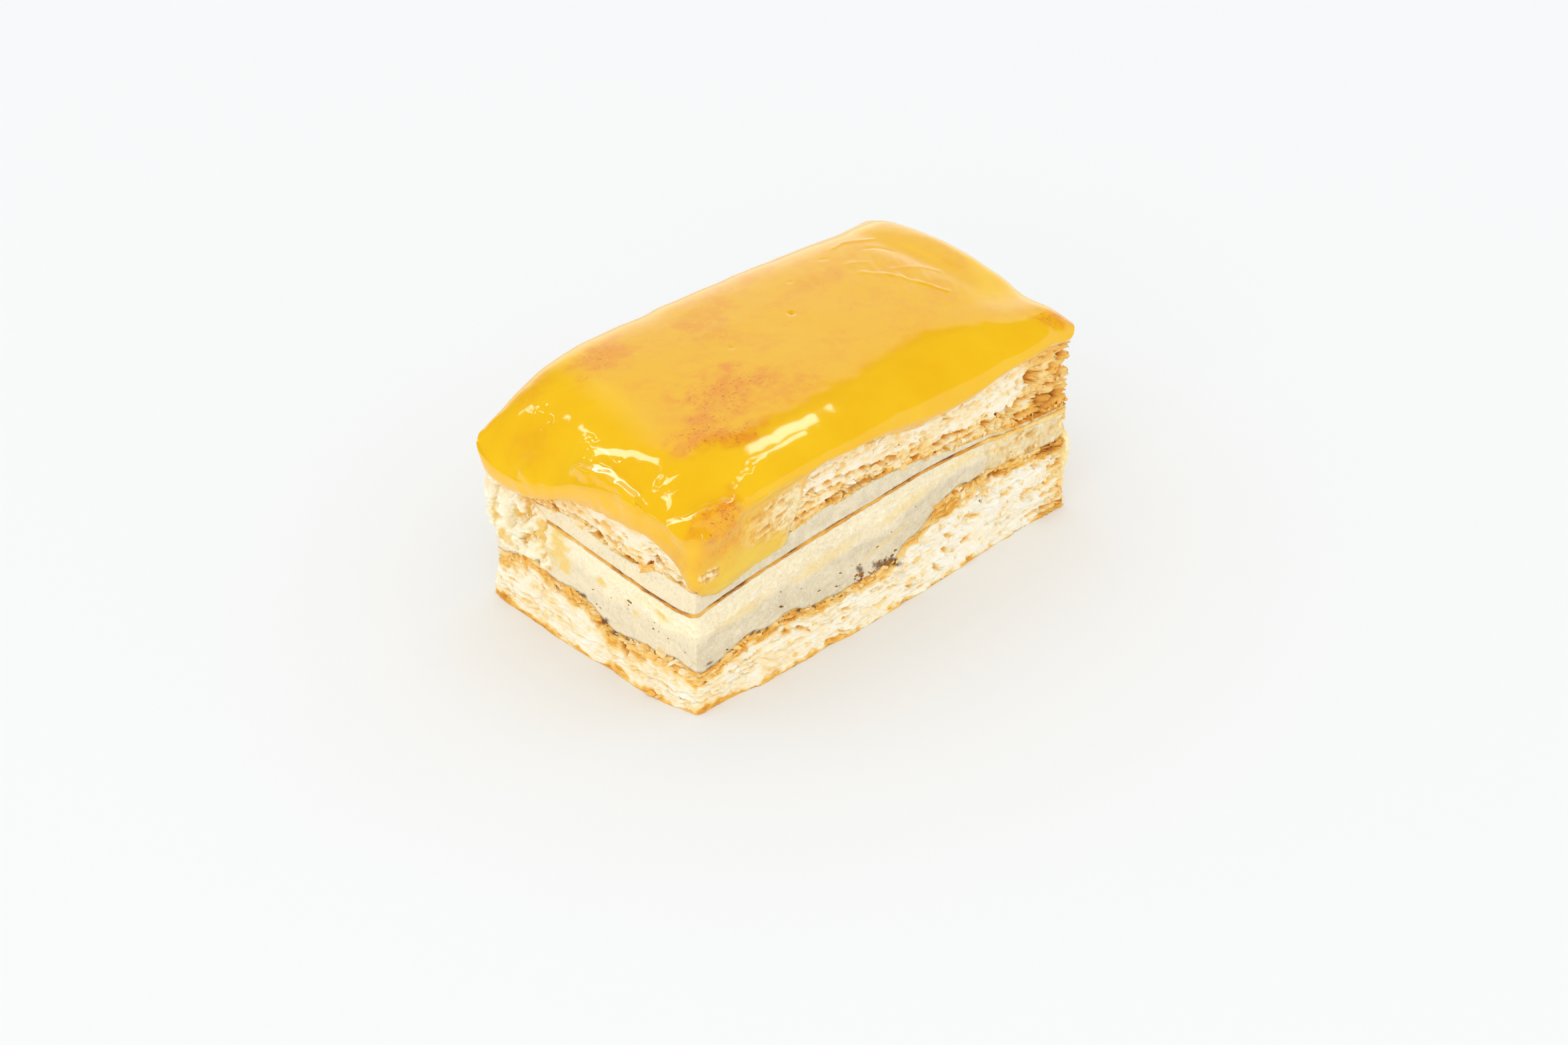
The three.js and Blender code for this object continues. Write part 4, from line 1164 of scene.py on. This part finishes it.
def crumb_effect():
    """Crumb of two sizes: a mottle for the colour, and a height for the bump."""
    tree, nodes, given, wanted = effect(
        "Crumb",
        [("Place", "NodeSocketVector"), ("Coarse", "NodeSocketFloat"), ("Fine", "NodeSocketFloat")],
        [("Mottle", "NodeSocketFloat"), ("Height", "NodeSocketFloat")])
    coarse = nodes.add("ShaderNodeTexNoise", {
        "Vector": given["Place"], "Scale": given["Coarse"], "Detail": 3.0, "Roughness": 0.6}).outputs["Fac"]
    fine = nodes.add("ShaderNodeTexNoise", {
        "Vector": given["Place"], "Scale": given["Fine"], "Detail": 2.0, "Roughness": 0.6}).outputs["Fac"]
    height = nodes.maths("ADD", coarse, nodes.maths("MULTIPLY", fine, 0.6))
    nodes.tree.links.new(coarse, wanted["Mottle"])
    nodes.tree.links.new(height, wanted["Height"])
    return tree


def pastry_finish(name, crumb, stops):
    material, nodes, shader = finish(name, {
        "Roughness": 0.7, "Subsurface Weight": 0.15, "Subsurface Radius": (1.0, 0.75, 0.5),
        "Subsurface Scale": 0.8 * MM, "Specular IOR Level": 0.3})
    place = nodes.add("ShaderNodeVectorMath", {0: nodes.place(), 1: (1.0, 1.0, 1.9)}, operation="MULTIPLY")
    # The toast mask carries the browning and the painted shade of the recesses, laid here as tones of the
    # ramp.
    toast, height = nodes.crumbly(crumb, place.outputs[0], 2.2, 0.6, "toast", 0.3)
    dark = nodes.blend(nodes.mask("scorch"), nodes.ramp(toast, stops), colour(92, 50, 32))
    nodes.coat(shader, dark, height, 0.7, 0.3)
    return material


PASTRY_TONES = [
    (0.0, colour(255, 249, 234)), (0.18, colour(255, 241, 210)), (0.36, colour(252, 217, 144)),
    (0.56, colour(244, 186, 82)), (0.8, colour(216, 142, 48)), (1.0, colour(124, 68, 28)),
]


def custard_finish(crumb):
    material, nodes, shader = finish("Set custard", {
        "Roughness": 0.45, "Subsurface Weight": 0.2, "Subsurface Radius": (1.0, 0.8, 0.5),
        "Subsurface Scale": 1.2 * MM, "Specular IOR Level": 0.4})
    place = nodes.place()
    rich, height = nodes.crumbly(crumb, place, 2.5, 0.45, "rich", 0.6)
    tone = nodes.ramp(rich, [
        (0.0, colour(217, 202, 170)), (0.3, colour(238, 223, 190)), (0.6, colour(248, 231, 192)),
        (0.85, colour(255, 242, 206)), (1.0, colour(255, 238, 188))])
    pale = nodes.maths("SUBTRACT", nodes.mask("grain"), 0.6, clamp=True)
    tone = nodes.blend(nodes.maths("MULTIPLY", pale, 2.0, clamp=True), tone, colour(255, 249, 230))
    # The fine grain is painted: some specks as painted highlights towards near-white, others as painted shade
    # towards brown-grey.
    sand = nodes.mottle(place, 0.55, 3.0, 0.6)
    lit = nodes.ramp(sand, [(0.56, grey(0)), (0.7, grey(0.4))])
    tone = nodes.blend(lit, tone, colour(255, 250, 236))
    shaded = nodes.ramp(sand, [(0.32, grey(0.35)), (0.44, grey(0))])
    tone = nodes.blend(shaded, tone, colour(190, 168, 124))
    tone = nodes.lay(tone, "stain", 0.9, colour(244, 208, 112))
    dirt = nodes.ramp(nodes.mottle(place, 2.6, 5.0, 0.62), [
        (0.34, colour(250, 236, 192)), (0.48, colour(242, 214, 148)), (0.58, colour(228, 184, 102)),
        (0.7, colour(204, 142, 70))])
    tone = nodes.blend(nodes.mask("muddle"), tone, dirt)
    # Scorched places, and on the lower custard the painted shade just above the crust line.
    tone = nodes.blend(nodes.mask("scorch"), tone, colour(104, 66, 50))
    nodes.coat(shader, tone, height, 0.45, 0.2)
    return material


def smear_finish(crumb, stops):
    """Whipped-up custard, its hollows painted golden: partly crumbs of crust caught in them and partly
    painted shade.
    """
    material, nodes, shader = finish("Smeared custard", {
        "Roughness": 0.5, "Specular IOR Level": 0.35})
    place = nodes.place()
    rich, height = nodes.crumbly(crumb, place, 2.0, 0.45, "rich", 0.6)
    # Painted shade and caught crumbs in the hollows, mottled.
    crumbs_and_shade = nodes.ramp(nodes.mottle(place, 2.4, 4.0, 0.65), [(0.38, grey(0)), (0.54, grey(1))])
    tone = nodes.lay(nodes.ramp(rich, stops), "stain", 0.85, colour(242, 198, 88))
    tone = nodes.lay(tone, "hollow_shade", crumbs_and_shade, colour(232, 182, 74))
    nodes.coat(shader, tone, height, 0.4, 0.2)
    return material


SMEAR_TONES = [(0.1, colour(255, 251, 226)), (0.5, colour(255, 246, 213)), (0.9, colour(250, 224, 152))]
END_TONES = [(0.1, colour(254, 240, 186)), (0.5, colour(250, 230, 150)), (0.9, colour(244, 210, 70))]


def icing_finish():
    material, nodes, shader = finish("Egg-yolk icing", {
        "Roughness": 0.09, "Subsurface Weight": 0.15, "Subsurface Radius": (1.0, 0.5, 0.12),
        "Subsurface Scale": 2.5 * MM, "IOR": 1.5})
    place = nodes.place()
    broad = nodes.mottle(place, 14, 3.0)
    speckle = nodes.mottle(place, 0.7, 5.0, 0.75)
    streak = nodes.mottle(place, 3.5, 5.0, 0.7)
    base = nodes.ramp(broad, [(0.3, colour(239, 183, 16)), (0.7, colour(243, 193, 26))])
    fine = nodes.ramp(streak, [(0.35, grey(0.7)), (0.65, grey(1))])
    # The flat top is painted darker and tanner, partly for its baked skin and partly as painted shade that
    # offsets the reflection it mirrors.
    base = nodes.lay(base, "crown_skin_and_shade", fine, colour(236, 179, 18))
    tan_and_shade = nodes.ramp(nodes.mottle(place, 7, 6.0, 0.68), [(0.48, grey(0)), (0.66, grey(0.4))])
    base = nodes.lay(base, "crown_skin_and_shade", tan_and_shade, colour(234, 160, 36))
    toast = nodes.mask("toast")
    patchy = nodes.ramp(streak, [(0.38, grey(0.3)), (0.56, grey(1))])
    base = nodes.blend(nodes.maths("MULTIPLY", toast, patchy), base, colour(232, 152, 34))
    speck = nodes.ramp(speckle, [(0.56, grey(0)), (0.64, grey(1))])
    burnt = nodes.maths("MULTIPLY", nodes.maths("POWER", toast, 2.0), speck)
    base = nodes.blend(nodes.maths("MULTIPLY", burnt, 0.9), base, colour(176, 86, 22))
    run = nodes.ramp(nodes.mottle(place, 4, 5.0, 0.65), [
        (0.35, colour(244, 192, 42)), (0.5, colour(240, 180, 44)), (0.66, colour(230, 160, 52))])
    base = nodes.lay(base, "film", 0.6, run)
    flakes = nodes.maths("SUBTRACT", nodes.mottle(place, 1.4, 5.0, 0.7), 0.5)
    leafy = nodes.maths("ADD", nodes.mask("leafy"), nodes.maths("MULTIPLY", flakes, 1.6), clamp=True)
    base = nodes.blend(nodes.mask("flaky"), base, nodes.ramp(leafy, [
        (0.02, colour(250, 228, 178)), (0.14, colour(242, 208, 138)), (0.35, colour(230, 176, 84)),
        (0.6, colour(212, 144, 56)), (0.9, colour(160, 98, 56))]))
    base = nodes.lay(base, "soaked", 0.9, colour(240, 202, 60))
    base = nodes.lay(base, "band", 0.8, colour(250, 194, 48))
    base = nodes.lay(base, "hem", 0.7, colour(238, 186, 112))
    nodes.coat(shader, base, nodes.mottle(place, 1.6, 2.0), 0.06, 0.1)
    return material


# ---- Setting ---------------------------------------------------------------------------------------

def floor():
    plane = new_piece("floor", bpy.ops.mesh.primitive_plane_add, size=6)
    material = finish("Pale floor", {
        "Base Color": FLOOR_TONE, "Roughness": 0.9, "Specular IOR Level": 0.1})[0]
    plane.data.materials.append(material)


FLOOR_TONE = colour(238, 238, 237)
SKY_TONE = (0.965, 0.985, 1.0, 1)
SKY_STRENGTH = 1.12
# The mirrored studio is dim where a direction's product with one of these is over its
# limit, less or more sharply.
DIM_WAYS = [((0.5, -0.11, 1.0), 0.897, 33.0), ((-0.9, 0.2, 1.2), 0.86, 6.0),
            ((-0.2, 1.0, 0.5), 0.93, 7.0)]
FAR_WAY = ((0.6, 0.6, -1.0), 0.28, 3.0)     # and bright where it is over this one's
MIRRORED_NEAR, MIRRORED_FAR = (0.76, 0.77, 0.82, 1), (1.35, 1.35, 1.45, 1)
MIRRORED_DIM = (0.08, 0.08, 0.08, 1)


def world():
    """An even pale studio. What gloss mirrors is bright low down and on the far side, and
    dim overhead."""
    scene_world = bpy.data.worlds.new("Pale studio")
    bpy.context.scene.world = scene_world
    scene_world.use_nodes = True
    nodes = Nodes(scene_world.node_tree)
    light = scene_world.node_tree.nodes["Background"]
    way = nodes.add("ShaderNodeTexCoord").outputs["Generated"]

    def past(toward, limit, sharpness):
        product = nodes.add("ShaderNodeVectorMath", {0: way, 1: toward}, operation="DOT_PRODUCT")
        over = nodes.maths("SUBTRACT", product.outputs["Value"], limit)
        return nodes.maths("MULTIPLY", over, sharpness, clamp=True)

    dim = 0.0
    for dim_way in DIM_WAYS:
        dim = nodes.maths("MAXIMUM", past(*dim_way), dim)
    bright = nodes.blend(past(*FAR_WAY), MIRRORED_NEAR, MIRRORED_FAR)
    mirrored = nodes.blend(dim, bright, MIRRORED_DIM)
    glossy = nodes.add("ShaderNodeLightPath").outputs["Is Glossy Ray"]
    shade = nodes.blend(glossy, SKY_TONE, mirrored)
    scene_world.node_tree.links.new(shade, light.inputs["Color"])
    light.inputs["Strength"].default_value = SKY_STRENGTH


# Window panes that the icing mirrors as streaks and sparkles: where on it, the bearing of
# the pane's long side, its length and width, and how far off it is.
PANES = [
    ((-25.5, -25.0), -8, 30, 15, 90), ((-34, -27.4), 4, 34, 7, 90), ((-39.5, -28.4), 6, 16, 3, 60),
    ((-51.8, -27.4), 20, 7, 1.6, 9), ((-55.2, -26.2), 60, 5, 1.6, 9),
    ((-54.9, -10.5), 84, 15, 1.8, 10), ((-51.5, -19.0), 90, 6, 5, 40),
    ((-50.3, 3.0), 90, 8, 4, 60), ((-49.5, 21.0), 90, 4, 3, 60),
]
PANE_RADIANCE = 7.0


def window_panes(icing, viewer):
    """Hangs each pane where its place on the icing mirrors it to the viewer. The viewer
    and matt surfaces get no light from it, but anything glossy may mirror it."""
    tree = BVHTree.FromPolygons(
        [v.co / MM for v in icing.data.vertices], [p.vertices for p in icing.data.polygons])
    for (x, y), bearing, length, width, distance in PANES:
        around = [tree.ray_cast(Vector((*(CENTRE + (x + i, y + j)), OVERHEAD)), Vector((0, 0, -1)))
                  for i, j in itertools.product((-0.8, -0.4, 0, 0.4, 0.8), repeat=2)]
        around = [hit for hit in around if hit[0]]
        place = sum((hit[0] for hit in around), Vector()) / len(around)
        normal = sum((hit[1] for hit in around), Vector()).normalized()
        view = (viewer / MM - place).normalized()
        toward = (2 * normal.dot(view) * normal - view).normalized()
        along = Vector((np.cos(np.radians(bearing)), np.sin(np.radians(bearing)), 0))
        along = (along - along.dot(toward) * toward).normalized()
        bpy.ops.object.light_add(type="AREA")
        pane = bpy.context.object
        pane.data.shape = "RECTANGLE"
        pane.data.size, pane.data.size_y = length * MM, width * MM
        pane.data.energy = PANE_RADIANCE * np.pi * length * width * MM * MM
        pane.visible_camera = pane.visible_diffuse = False
        axes = Matrix((along, toward.cross(along), toward)).transposed()
        pane.matrix_world = Matrix.Translation((place + toward * distance) * MM) @ axes.to_4x4()


def fill_light():
    """A broad soft lamp behind and left of the viewer that keeps the cut faces bright."""
    bpy.ops.object.light_add(type="AREA")
    lamp = bpy.context.object
    lamp.data.shape = "SQUARE"
    lamp.data.size = 1.0
    lamp.data.energy = 2.2
    lamp.data.color = (1.0, 0.93, 0.85)
    place = Vector((-1.2, -0.6, 0.42))
    lamp.matrix_world = Matrix.Translation(place) @ place.to_track_quat("Z", "Y").to_matrix().to_4x4()


# Degrees, and mm from the middle of the slab's foot.
CAMERA = {"azimuth": -44.73, "elevation": 32.18, "distance": 540.14, "right": -0.80, "up": 5.01}
FOCAL_PIXELS, IMAGE_WIDTH = 3800, 2352      # the lens's focal length, and the image, in pixels
SENSOR = 36                                 # width of the sensor in mm


def camera():
    azimuth, elevation = np.radians([CAMERA["azimuth"], CAMERA["elevation"]])
    back = np.array([np.sin(azimuth) * np.cos(elevation), -np.cos(azimuth) * np.cos(elevation),
                     np.sin(elevation)])
    right = np.array([np.cos(azimuth), np.sin(azimuth), 0])
    up = np.cross(back, right)
    place = back * CAMERA["distance"] + right * CAMERA["right"] + up * CAMERA["up"]
    place[:2] += CENTRE
    bpy.ops.object.camera_add()
    view = bpy.context.object
    turn = Matrix(np.column_stack([right, up, back]).tolist()).to_4x4()
    view.matrix_world = Matrix.Translation(Vector(place * MM)) @ turn
    view.data.sensor_width = SENSOR
    view.data.lens = SENSOR * FOCAL_PIXELS / IMAGE_WIDTH
    view.data.clip_start, view.data.clip_end = 0.01, 20
    bpy.context.scene.camera = view
    return view.matrix_world.translation


# ---- The slice ----------------------------------------------------------------------------------------

def hand_over(piece, material, node):
    piece.data.materials.append(material)
    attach(piece, "root")
    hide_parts(node)


def main():
    crumb = crumb_effect()
    pastry = pastry_finish("Puff pastry", crumb, PASTRY_TONES)
    leaf = pastry_finish("Browned leaf", crumb, PASTRY_TONES)
    custard = custard_finish(crumb)
    layers = {}
    for build, material, node, slot in [
            (bottom_puff, pastry, "bottom_pastry", "puff_pastry"),
            (custard_bed, custard, "lower_custard", "custard"),
            (browned_sheet, leaf, "middle_pastry", "browned_sheet"),
            (custard_band, custard, "upper_custard", "custard"),
            (top_puff, pastry, "top_pastry", "puff_pastry")]:
        wall = build()
        layers[build.__name__] = wall
        hand_over(wall.piece, material, node)
    icing = egg_icing()
    hand_over(icing, icing_finish(), "icing")
    hand_over(corner_smear(), smear_finish(crumb, SMEAR_TONES), "corner_smear")
    hand_over(end_smear(), smear_finish(crumb, END_TONES), "end_smear")
    clinging = crumbs(layers)
    clinging.data.materials.append(pastry)
    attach(clinging, "root")
    floor()
    world()
    fill_light()
    window_panes(icing, camera())
    bpy.context.scene.view_settings.view_transform = "Standard"


main()
